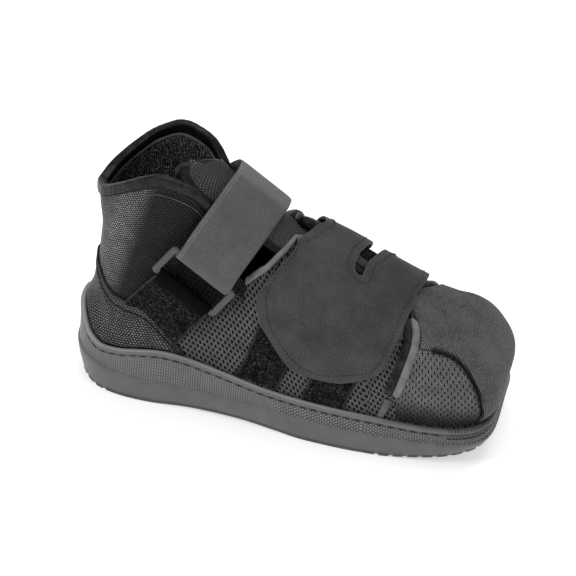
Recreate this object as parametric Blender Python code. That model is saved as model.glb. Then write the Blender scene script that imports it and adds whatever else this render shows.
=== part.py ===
"""A post-operative boot: a rocker cupsole with a square toe, and a tall mesh upper closed by two straps.

It is built in metres, with +Z up, +X towards the toe, and the side that carries the ring at -Y.
The origin is on the floor, under the middle of the sole. The last is straight, so both sides mirror each other.
"""

import math

import bmesh
import bpy
import numpy as np

MM = 0.001

# Driving sizes of the last and the sole
LENGTH = 300 * MM
BALL_WIDTH = 120.6 * MM
HEEL_WIDTH = 87.2 * MM
HEEL_ROUNDNESS = 2.48
TOE_SQUARENESS = 4.83
LIP_HEIGHT = 45.5 * MM
BAND_HEIGHT = 21 * MM
FLOOR_HEIGHT = 26 * MM
TOE_SPRING = 13.5 * MM
HEEL_BEVEL = 11 * MM
ARCH_LIFT = 3 * MM
OUTSOLE_THICKNESS = 6.5 * MM
LUG_DEPTH = 2.6 * MM
LUG_PITCH = 10.6 * MM
LUG_GAP = 2.4 * MM
LIP_WALL = 4.4 * MM
LIP_BEAD = 4.6 * MM
INSOLE_THICKNESS = 5 * MM

# Driving sizes of the upper
SHAFT_HEIGHT = 182 * MM
INSTEP_HEIGHT = 140 * MM
TOE_BOX_HEIGHT = 86 * MM
COLLAR_WIDTH = 76 * MM
TOE_BULGE = 4 * MM
UPPER_WALL = 3 * MM

# Driving sizes of the pieces that lie on the upper
OVERLAY_WALL = 1.3 * MM
PIPING_RISE = 1.3 * MM
PIPING_WIDTH = 3.2 * MM
BINDING_WALL = 1.4 * MM
BINDING_DEPTH = 6 * MM
TOE_BINDING_WIDTH = 5.5 * MM
TOE_BINDING_WALL = 1.8 * MM
FLAP_WALL = 2.4 * MM
STRIP_WALL = 1.2 * MM
STRAP_WALL = 1.5 * MM
ANKLE_STRAP_WIDTH = 44 * MM
TONGUE_WALL = 5 * MM
RING_LENGTH = 55 * MM
RING_HEIGHT = 27 * MM
RING_BAR = 4.9 * MM
RING_THICKNESS = 3.4 * MM
RING_CORNER = 3.4 * MM

# The ring's middle, as a place and rise on the upper and a distance out from it, and the slope of its long side
RING_PLACE = 0.293
RING_RISE = 0.507
RING_STAND_OFF = 9.8 * MM
RING_SLOPE = 34.2

# Clearance between pieces that meet, and under a piece that lies on the curved upper
GAP = 0.3 * MM
LAY_GAP = 0.5 * MM

# Where the outline's heel arc and toe arc end, as shares of the half length
HEEL_ARC_END = -0.567
TOE_ARC_START = 0.40

# Heights round the sole. Columns: place along the outline from heel (0) to toe (1),
# lip (share of LIP_HEIGHT), foot of the textured band (share of BAND_HEIGHT)
SOLE_LEVELS = (
    (0.00, 1.30, 1.40),
    (0.03, 1.27, 1.36),
    (0.06, 1.12, 1.28),
    (0.09, 0.92, 1.18),
    (0.12, 0.85, 1.11),
    (0.16, 0.89, 1.04),
    (0.20, 0.96, 1.01),
    (0.24, 1.00, 1.00),
    (0.28, 0.98, 1.00),
    (0.33, 0.92, 1.00),
    (0.39, 0.84, 1.01),
    (0.45, 0.775, 1.01),
    (0.51, 0.75, 1.00),
    (0.57, 0.742, 0.985),
    (0.63, 0.733, 0.97),
    (0.69, 0.71, 0.955),
    (0.75, 0.695, 0.97),
    (0.81, 0.70, 1.00),
    (0.86, 0.73, 1.06),
    (0.90, 0.77, 1.14),
    (0.94, 0.82, 1.24),
    (1.00, 0.88, 1.34),
)

# Ground line along the sole. Columns: x (share of the half length), heel bevel, arch and toe spring
# (shares of their sizes)
GROUND_LINE = (
    (-1.00, 1.00, 0.0, 0.0),
    (-0.96, 0.50, 0.0, 0.0),
    (-0.91, 0.16, 0.0, 0.0),
    (-0.86, 0.00, 0.0, 0.0),
    (-0.60, 0.00, 0.0, 0.0),
    (-0.42, 0.00, 0.65, 0.0),
    (-0.18, 0.00, 1.00, 0.0),
    (0.00, 0.00, 0.50, 0.0),
    (0.12, 0.00, 0.0, 0.0),
    (0.48, 0.00, 0.0, 0.0),
    (0.62, 0.00, 0.0, 0.17),
    (0.78, 0.00, 0.0, 0.47),
    (0.90, 0.00, 0.0, 0.77),
    (1.00, 0.00, 0.0, 1.00),
)

# Floor of the cup. Columns: x (share of the half length), height (share of FLOOR_HEIGHT)
CUP_FLOOR = (
    (-1.00, 1.04),
    (-0.60, 1.00),
    (0.00, 0.80),
    (0.40, 0.70),
    (0.73, 0.75),
    (1.00, 0.98),
)

# Upper edge of the shaft and throat. Columns: place along the outline, x (share of the half length),
# half width (share of half COLLAR_WIDTH), height (share of SHAFT_HEIGHT), squareness of the wall,
# waist (depth, share of half COLLAR_WIDTH)
COLLAR_EDGE = (
    (0.000, -0.945, 0.00, 0.822, 1.00, 0.115),
    (0.050, -0.925, 0.42, 0.850, 1.00, 0.105),
    (0.100, -0.860, 0.74, 0.905, 1.00, 0.085),
    (0.155, -0.755, 0.95, 0.972, 1.00, 0.060),
    (0.210, -0.620, 1.00, 1.000, 1.00, 0.040),
    (0.265, -0.490, 0.92, 0.966, 1.08, 0.020),
    (0.310, -0.385, 0.73, 0.858, 1.18, 0.010),
    (0.331, -0.350, 0.70, 0.765, 1.22, 0.000),
    (0.356, -0.295, 0.73, 0.680, 1.25, 0.000),
    (0.3875, -0.220, 0.86, 0.600, 1.35, 0.000),
)

# Rear edge of the vamp, then its ridge down to the toe. Columns: place along the outline,
# x (share of the half length), half width (share of half COLLAR_WIDTH), rise from toe box to instep (share),
# squareness of the wall, bulge over the lip (share of TOE_BULGE)
VAMP_EDGE = (
    (0.425, -0.133, 0.84, 0.71, 1.70, 0.0),
    (0.465, -0.060, 0.45, 0.93, 1.90, 0.0),
    (0.500, -0.020, 0.00, 1.00, 2.00, 0.0),
    (0.550, 0.110, 0.00, 0.86, 2.10, 0.0),
    (0.610, 0.260, 0.00, 0.61, 2.25, 0.0),
    (0.670, 0.400, 0.00, 0.37, 2.40, 0.2),
    (0.730, 0.520, 0.00, 0.17, 2.60, 0.4),
    (0.790, 0.600, 0.00, 0.07, 2.80, 0.7),
    (0.840, 0.635, 0.00, 0.03, 2.85, 1.0),
    (0.890, 0.652, 0.00, 0.015, 2.70, 1.0),
    (0.940, 0.661, 0.00, 0.004, 2.50, 1.0),
    (1.000, 0.667, 0.00, 0.00, 2.40, 1.0),
)

# The throat, cut down from the closed form. Columns: place, rise at which the wall ends there
THROAT = (
    (0.3875, 1.000),
    (0.425, 0.858),
    (0.4625, 0.857),
    (0.500, 0.877),
    (0.5375, 0.918),
    (0.575, 1.000),
)

# Top edge of the heel counter. Columns: place along the outline, rise up the upper's wall
COUNTER_EDGE = (
    (0.000, 0.445),
    (0.046, 0.432),
    (0.067, 0.424),
    (0.086, 0.410),
    (0.106, 0.395),
    (0.156, 0.362),
    (0.186, 0.345),
    (0.208, 0.319),
    (0.239, 0.246),
    (0.272, 0.148),
    (0.292, 0.070),
)

# Lower edge of the toe cap, where the crease runs. Columns: place, rise
TOE_CAP_EDGE = (
    (0.742, 0.560),
    (0.781, 0.585),
    (0.810, 0.573),
    (0.828, 0.535),
    (0.840, 0.466),
    (0.848, 0.377),
    (0.855, 0.272),
    (0.860, 0.151),
    (0.864, 0.000),
    (1.000, 0.000),
)

# Binding across the back of the toe box. Columns: rise, place
TOE_BINDING_LINE = (
    (0.150, 0.697),
    (0.280, 0.709),
    (0.421, 0.721),
    (0.560, 0.731),
    (0.686, 0.735),
    (0.780, 0.731),
    (0.860, 0.722),
    (0.930, 0.708),
    (1.000, 0.700),
)

# Rear and front edges of the forefoot flap on the near side, then of its two straps on the far side.
# Columns: rise on the near side (0 to 1) or 2 less the rise on the far side (1 to 2), rear place, front place
FLAP_EDGES = (
    (0.143, 0.525, 0.553),
    (0.150, 0.508, 0.580),
    (0.172, 0.490, 0.607),
    (0.215, 0.474, 0.637),
    (0.300, 0.452, 0.668),
    (0.435, 0.430, 0.684),
    (0.580, 0.421, 0.698),
    (0.758, 0.436, 0.713),
    (0.880, 0.462, 0.728),
    (1.000, 0.514, 0.738),
    (1.150, 0.517, 0.735),
    (1.400, 0.480, 0.716),
    (1.700, 0.450, 0.694),
    (1.930, 0.450, 0.678),
)

# The flap's slot. Columns: same measure as above, rear place, front place of the opening
FLAP_SLOT = (
    (0.900, 0.614, 0.614),
    (0.925, 0.608, 0.620),
    (0.960, 0.606, 0.624),
    (1.000, 0.606, 0.626),
    (1.150, 0.607, 0.630),
    (1.400, 0.600, 0.628),
    (1.700, 0.560, 0.605),
    (1.930, 0.555, 0.600),
)

# The tongue's middle line. Columns: share of its length, x (share of the half length),
# height (0 at the toe box, 1 at the instep, 2 at the shaft's top), half width and shift to the far side
# (shares of half COLLAR_WIDTH), twist (share of the half width that one edge stands behind the other)
TONGUE_LINE = (
    (0.00, 0.307, 0.60, 0.63, 0.00, 0.00),
    (0.10, 0.220, 0.70, 0.63, 0.00, 0.00),
    (0.22, 0.093, 0.694, 0.63, 0.00, 0.00),
    (0.34, -0.053, 0.835, 0.553, 0.00, 0.05),
    (0.46, -0.173, 1.048, 0.553, 0.026, 0.15),
    (0.58, -0.273, 1.274, 0.58, 0.053, 0.30),
    (0.71, -0.360, 1.500, 0.63, 0.079, 0.45),
    (0.85, -0.427, 1.667, 0.63, 0.079, 0.60),
    (0.945, -0.467, 1.762, 0.526, 0.079, 0.68),
    (1.00, -0.487, 1.821, 0.342, 0.079, 0.70),
)

# The ankle strap's path. Columns: share of its length, place across the boot (share of the ring's distance
# from the middle plane), distance up the strap's slope (share of the height from the ring's middle to the
# shaft's top), skew along the ring (share of RING_LENGTH)
ANKLE_STRAP_PATH = (
    (0.00, -1.018, 0.097, 0.000),
    (0.06, -1.004, 0.221, -0.009),
    (0.13, -0.951, 0.387, -0.036),
    (0.21, -0.830, 0.564, -0.055),
    (0.30, -0.500, 0.718, -0.045),
    (0.39, -0.090, 0.823, -0.018),
    (0.45, 0.112, 0.859, 0.000),
    (0.50, 0.269, 0.865, 0.000),
    (0.55, 0.426, 0.829, 0.000),
    (0.62, 0.617, 0.725, 0.000),
    (0.70, 0.807, 0.573, 0.000),
    (0.78, 0.930, 0.401, 0.000),
    (0.88, 0.987, 0.180, 0.000),
    (1.00, 1.009, -0.166, 0.000),
)

# Corners of the two loop strips on the near side: place where each edge meets the lip, then place and rise of
# its upper end under the flap. Columns: rear foot, rear top place, rear top rise, front foot, front top place,
# front top rise
LOOP_STRIPS = (
    (0.386, 0.440, 0.47, 0.466, 0.506, 0.28),
    (0.520, 0.556, 0.27, 0.598, 0.630, 0.28),
)

# Rises at which the upper's wall has a row of points
WALL_ROWS = (0.0, 0.05, 0.16, 0.29, 0.42, 0.54, 0.66, 0.77, 0.86, 0.93, 1.0)
INNER_ROWS = (0.0, 0.29, 0.54, 0.77, 0.86, 1.0)

# Heights at which the shaft's waist and the toe's bulge are deepest (shares of the wall)
WAIST_PLACE = 0.62
BULGE_PLACE = 0.38


def smooth(rows, at):
    """A monotone cubic through a table's first column, for each of its other columns, at the places given."""
    table = np.array(rows, float)
    xs = table[:, 0]
    at = np.clip(np.asarray(at, float), xs[0], xs[-1])
    k = np.clip(np.searchsorted(xs, at, side="right") - 1, 0, len(xs) - 2)
    step = np.diff(xs)
    t = (at - xs[k]) / step[k]
    found = []
    for column in table[:, 1:].T:
        slope = np.diff(column) / step
        tangent = np.zeros(len(xs))
        inner = slope[:-1] * slope[1:] > 0
        weight_a = 2 * step[1:] + step[:-1]
        weight_b = step[1:] + 2 * step[:-1]
        with np.errstate(divide="ignore", invalid="ignore"):
            mean = (weight_a + weight_b) / (weight_a / slope[:-1] + weight_b / slope[1:])
        tangent[1:-1] = np.where(inner, mean, 0)
        tangent[0] = slope[0]
        tangent[-1] = slope[-1]
        h = step[k]
        found.append(
            column[k] * (2 * t**3 - 3 * t**2 + 1)
            + column[k + 1] * (3 * t**2 - 2 * t**3)
            + tangent[k] * h * (t**3 - 2 * t**2 + t)
            + tangent[k + 1] * h * (t**3 - t**2)
        )
    return found


def outline_at(u, inset):
    """Plan of the sole, from heel (u = 0) to toe (u = 3): x and half width, moved in by inset."""
    u = np.asarray(u, float)
    half = LENGTH / 2 - inset
    heel_half = HEEL_WIDTH / 2 - inset
    ball_half = BALL_WIDTH / 2 - inset
    heel_x = HEEL_ARC_END * LENGTH / 2
    toe_x = TOE_ARC_START * LENGTH / 2
    heel_turn = np.clip(u, 0, 1) * math.pi / 2
    toe_turn = np.clip(u - 2, 0, 1) * math.pi / 2
    along = np.clip(u - 1, 0, 1)
    flare = along * along * (3 - 2 * along)
    x = np.where(
        u < 1,
        heel_x - (heel_x + half) * np.cos(heel_turn) ** (2 / HEEL_ROUNDNESS),
        np.where(
            u < 2,
            heel_x + (toe_x - heel_x) * along,
            toe_x + (half - toe_x) * np.sin(toe_turn) ** (2 / TOE_SQUARENESS),
        ),
    )
    w = np.where(
        u < 1,
        heel_half * np.sin(heel_turn) ** (2 / HEEL_ROUNDNESS),
        np.where(
            u < 2,
            heel_half + (ball_half - heel_half) * flare,
            ball_half * np.clip(np.cos(toe_turn), 0, 1) ** (2 / TOE_SQUARENESS),
        ),
    )
    return x, np.where(w < 1e-7, 0, w)


def outline(place, inset):
    """Plan of the sole at a share of its half perimeter, which runs from the heel (0) to the toe (1)."""
    u = np.linspace(0, 3, 3001)
    x, w = outline_at(u, 0)
    run = np.concatenate([[0], np.cumsum(np.hypot(np.diff(x), np.diff(w)))])
    return outline_at(np.interp(place, run / run[-1], u), inset)


def throat_top(place):
    """The rise at which the upper's wall ends: 1, or less along the throat."""
    found, = smooth_straight(THROAT, place)
    inside = (place > THROAT[0][0]) & (place < THROAT[-1][0])
    return np.where(inside, found, 1.0)


def smooth_straight(rows, at):
    """Straight lines through a table, for edges that have to follow the facets of the upper."""
    table = np.array(rows, float)
    return [np.interp(at, table[:, 0], column) for column in table[:, 1:].T]


def outward(place):
    """Unit direction out of the outline, in plan."""
    far_x, far_w = outline(place, 0)
    near_x, near_w = outline(place, 5 * MM)
    x, w = far_x - near_x, far_w - near_w
    size = np.hypot(x, w)
    return x / size, w / size


def ground(x):
    """Height of the tread's lowest face."""
    bevel, arch, spring = smooth(GROUND_LINE, x / (LENGTH / 2))
    return bevel * HEEL_BEVEL + arch * ARCH_LIFT + spring * TOE_SPRING


def cup_floor(x):
    return smooth(CUP_FLOOR, x / (LENGTH / 2))[0] * FLOOR_HEIGHT


def lip_and_band(place):
    lip, band = smooth(SOLE_LEVELS, place)
    return lip * LIP_HEIGHT, band * BAND_HEIGHT


def upper_edge(place):
    """Where each wall line of the upper ends: x, half width, height, squareness and waist."""
    rows = []
    for at, x, w, z, square, waist in COLLAR_EDGE:
        half_width = w * COLLAR_WIDTH / 2
        rows.append((at, x * LENGTH / 2, half_width, z * SHAFT_HEIGHT, square, waist * COLLAR_WIDTH / 2))
    for at, x, w, rise, square, bulge in VAMP_EDGE:
        z = TOE_BOX_HEIGHT + rise * (INSTEP_HEIGHT - TOE_BOX_HEIGHT)
        rows.append((at, x * LENGTH / 2, w * COLLAR_WIDTH / 2, z, square, -bulge * TOE_BULGE))
    return smooth(rows, place)


def upper_point(place, rise):
    """A point of the upper's outer face on the -Y side. rise runs from the lip (0) to the upper's edge (1)."""
    place = np.asarray(place, float)
    rise = np.asarray(rise, float)
    base_x, base_w = outline(place, LIP_WALL + GAP)
    lip, _ = lip_and_band(place)
    base_z = lip - LIP_BEAD
    x, w, z, square, waist = upper_edge(place)
    turn = rise * math.pi / 2
    up = np.sin(turn) ** (2 / square)
    over = 1 - np.clip(np.cos(turn), 0, 1) ** (2 / square)
    place_of_waist = np.where(waist > 0, WAIST_PLACE, BULGE_PLACE)
    pinch = waist * np.exp(-(((up - place_of_waist) / 0.26) ** 2))
    above_lip = np.clip((up - 0.09) / 0.16, 0, 1)
    below_edge = np.clip((1 - up) / 0.3, 0, 1)
    pinch = pinch * above_lip**2 * (3 - 2 * above_lip) * below_edge**2 * (3 - 2 * below_edge)
    out_x, out_w = outward(place)
    px = base_x + (x - base_x) * over - pinch * out_x
    pw = base_w + (w - base_w) * over - pinch * out_w
    return px, -pw, base_z + (z - base_z) * up


def upper_normal(place, rise):
    """The outward unit normal of the upper's face, from small steps along it."""
    step = 0.002
    a = np.array(upper_point(np.clip(place + step, 0, 1), rise))
    b = np.array(upper_point(np.clip(place - step, 0, 1), rise))
    low = np.clip(rise - step, 0.001, 1)
    high = np.clip(rise + step, 0.001, 0.999)
    c = np.array(upper_point(place, high))
    d = np.array(upper_point(place, low))
    n = np.cross((a - b).T, (c - d).T)
    size = np.linalg.norm(n, axis=-1, keepdims=True)
    return (n / np.maximum(size, 1e-12)).T


def material(name, colour, roughness, metallic=0.0):
    made = bpy.data.materials.new(name)
    made.use_nodes = True
    shader = made.node_tree.nodes["Principled BSDF"]
    shader.inputs["Base Color"].default_value = (*colour, 1)
    shader.inputs["Roughness"].default_value = roughness
    shader.inputs["Metallic"].default_value = metallic
    return made


def add_object(name, mesh, finish):
    obj = bpy.data.objects.new(name, mesh)
    bpy.context.scene.collection.objects.link(obj)
    mesh.materials.append(finish)
    mesh.shade_smooth()
    mesh.set_sharp_from_angle(angle=math.radians(40))
    return obj


def solid_from_faces(name, points, faces, finish):
    """A closed solid: points that coincide are joined, flat slivers go, and the faces are turned outwards."""
    mesh = bpy.data.meshes.new(name)
    mesh.from_pydata([tuple(p) for p in points], [], faces)
    work = bmesh.new()
    work.from_mesh(mesh)
    bmesh.ops.remove_doubles(work, verts=work.verts, dist=1e-6)
    bmesh.ops.dissolve_degenerate(work, edges=work.edges, dist=1e-6)
    bmesh.ops.triangulate(work, faces=work.faces)
    bmesh.ops.recalc_face_normals(work, faces=work.faces)
    if work.calc_volume(signed=True) < 0:
        bmesh.ops.reverse_faces(work, faces=work.faces)
    work.to_mesh(mesh)
    work.free()
    return add_object(name, mesh, finish)


def mirrored_loft(name, profiles, finish, closed, ended=False):
    """Joins profiles that run along the -Y half, and their mirror images on the +Y side.

    profiles is stations x points x 3, with the last one on the middle plane. The first one is there too, unless
    the loft is ended: it then has a flat end there. A closed profile also joins its last point to its first.
    """
    near = np.asarray(profiles, float)
    far = (near[-2::-1] if ended else near[-2:0:-1]) * (1, -1, 1)
    ring = np.concatenate([near, far])
    stations, count = ring.shape[:2]
    faces = []
    if ended:
        faces.append(list(range(count)))
        faces.append([(stations - 1) * count + k for k in reversed(range(count))])
    for i in range(stations - 1 if ended else stations):
        j = (i + 1) % stations
        for k in range(count if closed else count - 1):
            m = (k + 1) % count
            corners = [(i, k), (j, k), (j, m), (i, m)]
            if all(abs(ring[c][1]) < 1e-7 for c in corners):
                continue
            faces.append([a * count + b for a, b in corners])
    return solid_from_faces(name, ring.reshape(-1, 3), faces, finish)


def shell(name, outer, inner, finish, keep=None):
    """A sheet with thickness: two grids of points, rows x columns x 3, joined along the kept cells' rim."""
    rows, columns = outer.shape[:2]
    keep = np.ones((rows - 1, columns - 1), bool) if keep is None else keep
    size = rows * columns
    faces = []
    rim = {}
    for i in range(rows - 1):
        for k in range(columns - 1):
            if not keep[i, k]:
                continue
            corners = [i * columns + k, (i + 1) * columns + k, (i + 1) * columns + k + 1, i * columns + k + 1]
            faces.append(corners)
            faces.append([c + size for c in reversed(corners)])
            for a, b in zip(corners, corners[1:] + corners[:1]):
                if (b, a) in rim:
                    del rim[(b, a)]
                else:
                    rim[(a, b)] = True
    for a, b in rim:
        faces.append([b, a, a + size, b + size])
    return solid_from_faces(name, np.concatenate([outer.reshape(-1, 3), inner.reshape(-1, 3)]), faces, finish)


def on_upper(place, rise, height):
    """Points at a height over the upper's outer face on the -Y side, as an array ending in x, y, z."""
    place, rise, height = np.broadcast_arrays(place, rise, height)
    point = np.array(upper_point(place.ravel(), rise.ravel()))
    normal = upper_normal(place.ravel(), np.clip(rise.ravel(), 0.02, 0.985))
    middle = np.abs(point[1]) < 1e-6
    normal[1] = np.where(middle, 0, normal[1])
    normal /= np.maximum(np.linalg.norm(normal, axis=0), 1e-9)
    found = (point + normal * height.ravel()).T
    return found.reshape(place.shape + (3,))


def rise_over_lip(place, height):
    """The rise at which the upper's face is this far above the lip."""
    lip, _ = lip_and_band(place)
    _, _, z, square, _ = upper_edge(place)
    base = lip - LIP_BEAD
    share = np.clip((lip + height - base) / (z - base), 0, 1)
    return np.arcsin(share ** (square / 2)) / (math.pi / 2)


def stack(*points):
    """Profiles from columns of points, each given as x, y and z arrays."""
    return np.stack([np.stack(np.broadcast_arrays(*p), axis=-1) for p in points], axis=1)


def stations():
    """Places round the half outline, closer together at the heel and round the toe's corner.

    Pieces that nest share them, so that their facets run side by side.
    """
    return np.unique(np.concatenate([
        np.linspace(0, 0.20, 9),
        np.linspace(0.20, 0.3875, 7)[1:],
        [0.371875, 0.403125],
        np.linspace(0.3875, 0.575, 6)[1:],
        np.linspace(0.575, 0.70, 4)[1:],
        np.linspace(0.70, 0.90, 12)[1:],
        np.linspace(0.90, 1.0, 6)[1:],
    ]).round(6))


def build_outsole(finish):
    place = stations()
    foot_x, foot_w = outline(place, 6.2 * MM)
    side_x, side_w = outline(place, 5.0 * MM)
    top_x, top_w = outline(place, 3.8 * MM)
    low = ground(foot_x)
    profiles = stack(
        (top_x, 0, ground(top_x) + OUTSOLE_THICKNESS),
        (top_x, -top_w, ground(top_x) + OUTSOLE_THICKNESS),
        (side_x, -side_w, ground(side_x) + 1.2 * MM),
        (foot_x, -foot_w, low),
        (foot_x, 0, low),
    )
    outsole = mirrored_loft("outsole", profiles, finish, closed=False)
    cut_lugs(outsole)
    return outsole


def cut_lugs(outsole):
    """Cuts chevron grooves across the heel and the forefoot."""
    half = LENGTH / 2
    points = []
    faces = []

    def bar(path, width):
        """A groove along a path of x, y places, wider at the floor than inside the tread."""
        first = len(points)
        for x, y in path:
            top = float(ground(np.array(x))) + LUG_DEPTH
            below = top - LUG_DEPTH - 4 * MM
            for share, z in ((-0.62, below), (-0.34, top), (0.34, top), (0.62, below)):
                points.append((x + width * share, y, z))
        for i in range(len(path) - 1):
            a, b = first + 4 * i, first + 4 * (i + 1)
            for k in range(4):
                m = (k + 1) % 4
                faces.append([a + k, b + k, b + m, a + m])
        last = first + 4 * (len(path) - 1)
        faces.append([first + k for k in range(4)])
        faces.append([last + k for k in (3, 2, 1, 0)])

    bend = 5 * MM
    reach = BALL_WIDTH / 2 + 4 * MM
    for start, end in ((-0.90, -0.50), (0.06, 0.93)):
        count = int((end - start) * half / LUG_PITCH)
        for i in range(count + 1):
            x = start * half + i * LUG_PITCH
            bar([(x, -reach), (x - bend, 0), (x, reach)], LUG_GAP)
    cutter_mesh = bpy.data.meshes.new("groove_cutter")
    cutter_mesh.from_pydata(points, [], faces)
    work = bmesh.new()
    work.from_mesh(cutter_mesh)
    bmesh.ops.recalc_face_normals(work, faces=work.faces)
    work.to_mesh(cutter_mesh)
    work.free()
    cutter = bpy.data.objects.new("groove_cutter", cutter_mesh)
    bpy.context.scene.collection.objects.link(cutter)
    cutter.hide_render = True
    cutter.display_type = "WIRE"
    cut = outsole.modifiers.new("grooves", "BOOLEAN")
    cut.operation = "DIFFERENCE"
    cut.object = cutter


def build_midsole(finish):
    place = stations()
    lip, band = lip_and_band(place)

    def ring(inset, z):
        x, w = outline(place, inset)
        return x, -w, z

    foot_x, foot_w = outline(place, 3.4 * MM)
    foot_z = ground(foot_x) + OUTSOLE_THICKNESS + GAP
    inner_x, inner_w = outline(place, LIP_WALL)
    profiles = stack(
        (foot_x, 0, foot_z),
        (foot_x, -foot_w, foot_z),
        ring(0.0 * MM, band - 1.4 * MM),
        ring(1.0 * MM, band),
        ring(1.2 * MM, lip - LIP_BEAD - 0.8 * MM),
        ring(2.1 * MM, lip - LIP_BEAD),
        ring(1.1 * MM, lip - 0.8 * LIP_BEAD),
        ring(0.5 * MM, lip - 0.45 * LIP_BEAD),
        ring(1.2 * MM, lip - 0.12 * LIP_BEAD),
        ring(2.6 * MM, lip),
        ring(LIP_WALL, lip - 0.25 * LIP_BEAD),
        (inner_x, -inner_w, cup_floor(inner_x)),
        (inner_x, 0, cup_floor(inner_x)),
    )
    return mirrored_loft("midsole", profiles, finish, closed=False)


def build_insole(finish):
    place = stations()
    inset = LIP_WALL + GAP + UPPER_WALL + GAP
    x, w = outline(place, inset)
    edge_x, edge_w = outline(place, inset + 1.5 * MM)
    low = cup_floor(x) + GAP
    profiles = stack(
        (x, 0, low),
        (x, -w, low),
        (x, -w, low + 0.7 * INSOLE_THICKNESS),
        (edge_x, -edge_w, cup_floor(edge_x) + GAP + INSOLE_THICKNESS),
        (edge_x, 0, cup_floor(edge_x) + GAP + INSOLE_THICKNESS),
    )
    return mirrored_loft("insole", profiles, finish, closed=False)


def build_upper(finish):
    place = stations()
    outer = []
    inner = []
    for rise in WALL_ROWS:
        at = rise * throat_top(place)
        p = np.array(upper_point(place, at))
        n = upper_normal(place, np.clip(at, 0.02, 0.985))
        n[1] = np.where(np.abs(p[1]) < 1e-6, 0, n[1])
        q = p - n / np.maximum(np.linalg.norm(n, axis=0), 1e-9) * UPPER_WALL
        q[1] = np.where(np.abs(p[1]) < 1e-6, 0, np.minimum(q[1], 0))
        outer.append(p)
        if rise in INNER_ROWS:
            inner.append(q)
    base_x, base_w = outline(place, LIP_WALL + GAP)
    in_x, in_w = outline(place, LIP_WALL + GAP + UPPER_WALL)
    foot = cup_floor(base_x) + GAP
    inner[0] = np.array([in_x, -in_w, outer[0][2]])
    columns = [(base_x, -base_w, foot)] + outer + inner[::-1] + [(in_x, -in_w, cup_floor(in_x) + GAP)]
    return mirrored_loft("upper", stack(*columns), finish, closed=True)


def build_collar_binding(finish):
    place = stations()
    place = place[place < 0.37][::-1]
    return bind_edge("collar_binding", place, finish)


def build_throat_binding(finish):
    place = stations()
    place = place[(place > THROAT[0][0] + 0.01) & (place <= THROAT[-1][0] + 0.001)]
    return bind_edge("throat_binding", place, finish)


def bind_edge(name, place, finish):
    """A folded tape over the upper's edge: two legs and a rounded top.

    The last place is on the middle plane.
    """
    edge = throat_top(place)
    top = on_upper(place, edge, 0.0)
    tries = np.linspace(0, 0.3, 31)
    walks = np.array([on_upper(place, edge * (1 - share), 0.0) for share in tries])
    steps = np.linalg.norm(np.diff(walks, axis=0), axis=2)
    run = np.concatenate([np.zeros((1, len(place))), np.cumsum(steps, axis=0)])

    def down(depth):
        return np.array([edge[k] * (1 - np.interp(depth, run[:, k], tries)) for k in range(len(place))])

    up = top - on_upper(place, down(2 * MM), 0.0)
    up /= np.linalg.norm(up, axis=1, keepdims=True)
    out = on_upper(place, edge, 1.0) - top
    out -= up * (out * up).sum(axis=1, keepdims=True)
    out /= np.linalg.norm(out, axis=1, keepdims=True)
    leg = 1.6 * LAY_GAP
    far_leg = -UPPER_WALL - 1.6 * LAY_GAP
    wall = BINDING_WALL
    low, middle = down(BINDING_DEPTH), down(0.5 * BINDING_DEPTH)
    columns = [
        on_upper(place, low, leg),
        on_upper(place, middle, leg + wall),
    ]
    for a, b in (
        (leg + 0.9 * wall, 0.3 * wall),
        (0.0, 1.45 * wall),
        (-UPPER_WALL, 1.45 * wall),
        (far_leg - 0.9 * wall, 0.3 * wall),
    ):
        columns.append(top + out * a + up * b)
    columns += [
        on_upper(place, middle, far_leg - wall),
        on_upper(place, low, far_leg),
        on_upper(place, middle, far_leg),
        top + out * far_leg + up * LAY_GAP,
        top + out * leg + up * LAY_GAP,
        on_upper(place, middle, leg),
    ]
    rows = np.stack(columns, axis=1)
    rows[-1, :, 1] = 0
    return mirrored_loft(name, rows, finish, closed=True, ended=True)


def build_heel_counter(finish):
    """The counter's sheet, with the piping along its top as a raised rim."""
    place = np.unique(np.concatenate([stations()[stations() <= 0.285], [0.2875]]))[::-1]
    low = rise_over_lip(place, 0.6 * MM)
    high = np.maximum(smooth(COUNTER_EDGE, place)[0], low + 0.012)
    run_per_rise = 1.45 * (upper_edge(place)[2] - lip_and_band(place)[0])
    rim = np.minimum(PIPING_WIDTH / run_per_rise, 0.45 * (high - low))
    outer_at = (0.0, 0.25, 0.5, 0.75)
    columns = [on_upper(place, low + share * (high - rim - low), LAY_GAP + OVERLAY_WALL) for share in outer_at]
    columns.append(on_upper(place, high - rim, LAY_GAP + OVERLAY_WALL))
    columns.append(on_upper(place, high - 0.8 * rim, LAY_GAP + OVERLAY_WALL + PIPING_RISE))
    columns.append(on_upper(place, high - 0.2 * rim, LAY_GAP + OVERLAY_WALL + PIPING_RISE))
    columns.append(on_upper(place, high, LAY_GAP + OVERLAY_WALL))
    for share in (1.0, 0.8, 0.6, 0.4, 0.2, 0.0):
        columns.append(on_upper(place, low + share * (high - low), LAY_GAP))
    rows = np.stack(columns, axis=1)
    rows[-1, :, 1] = 0
    return mirrored_loft("heel_counter", rows, finish, closed=True, ended=True)


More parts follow.
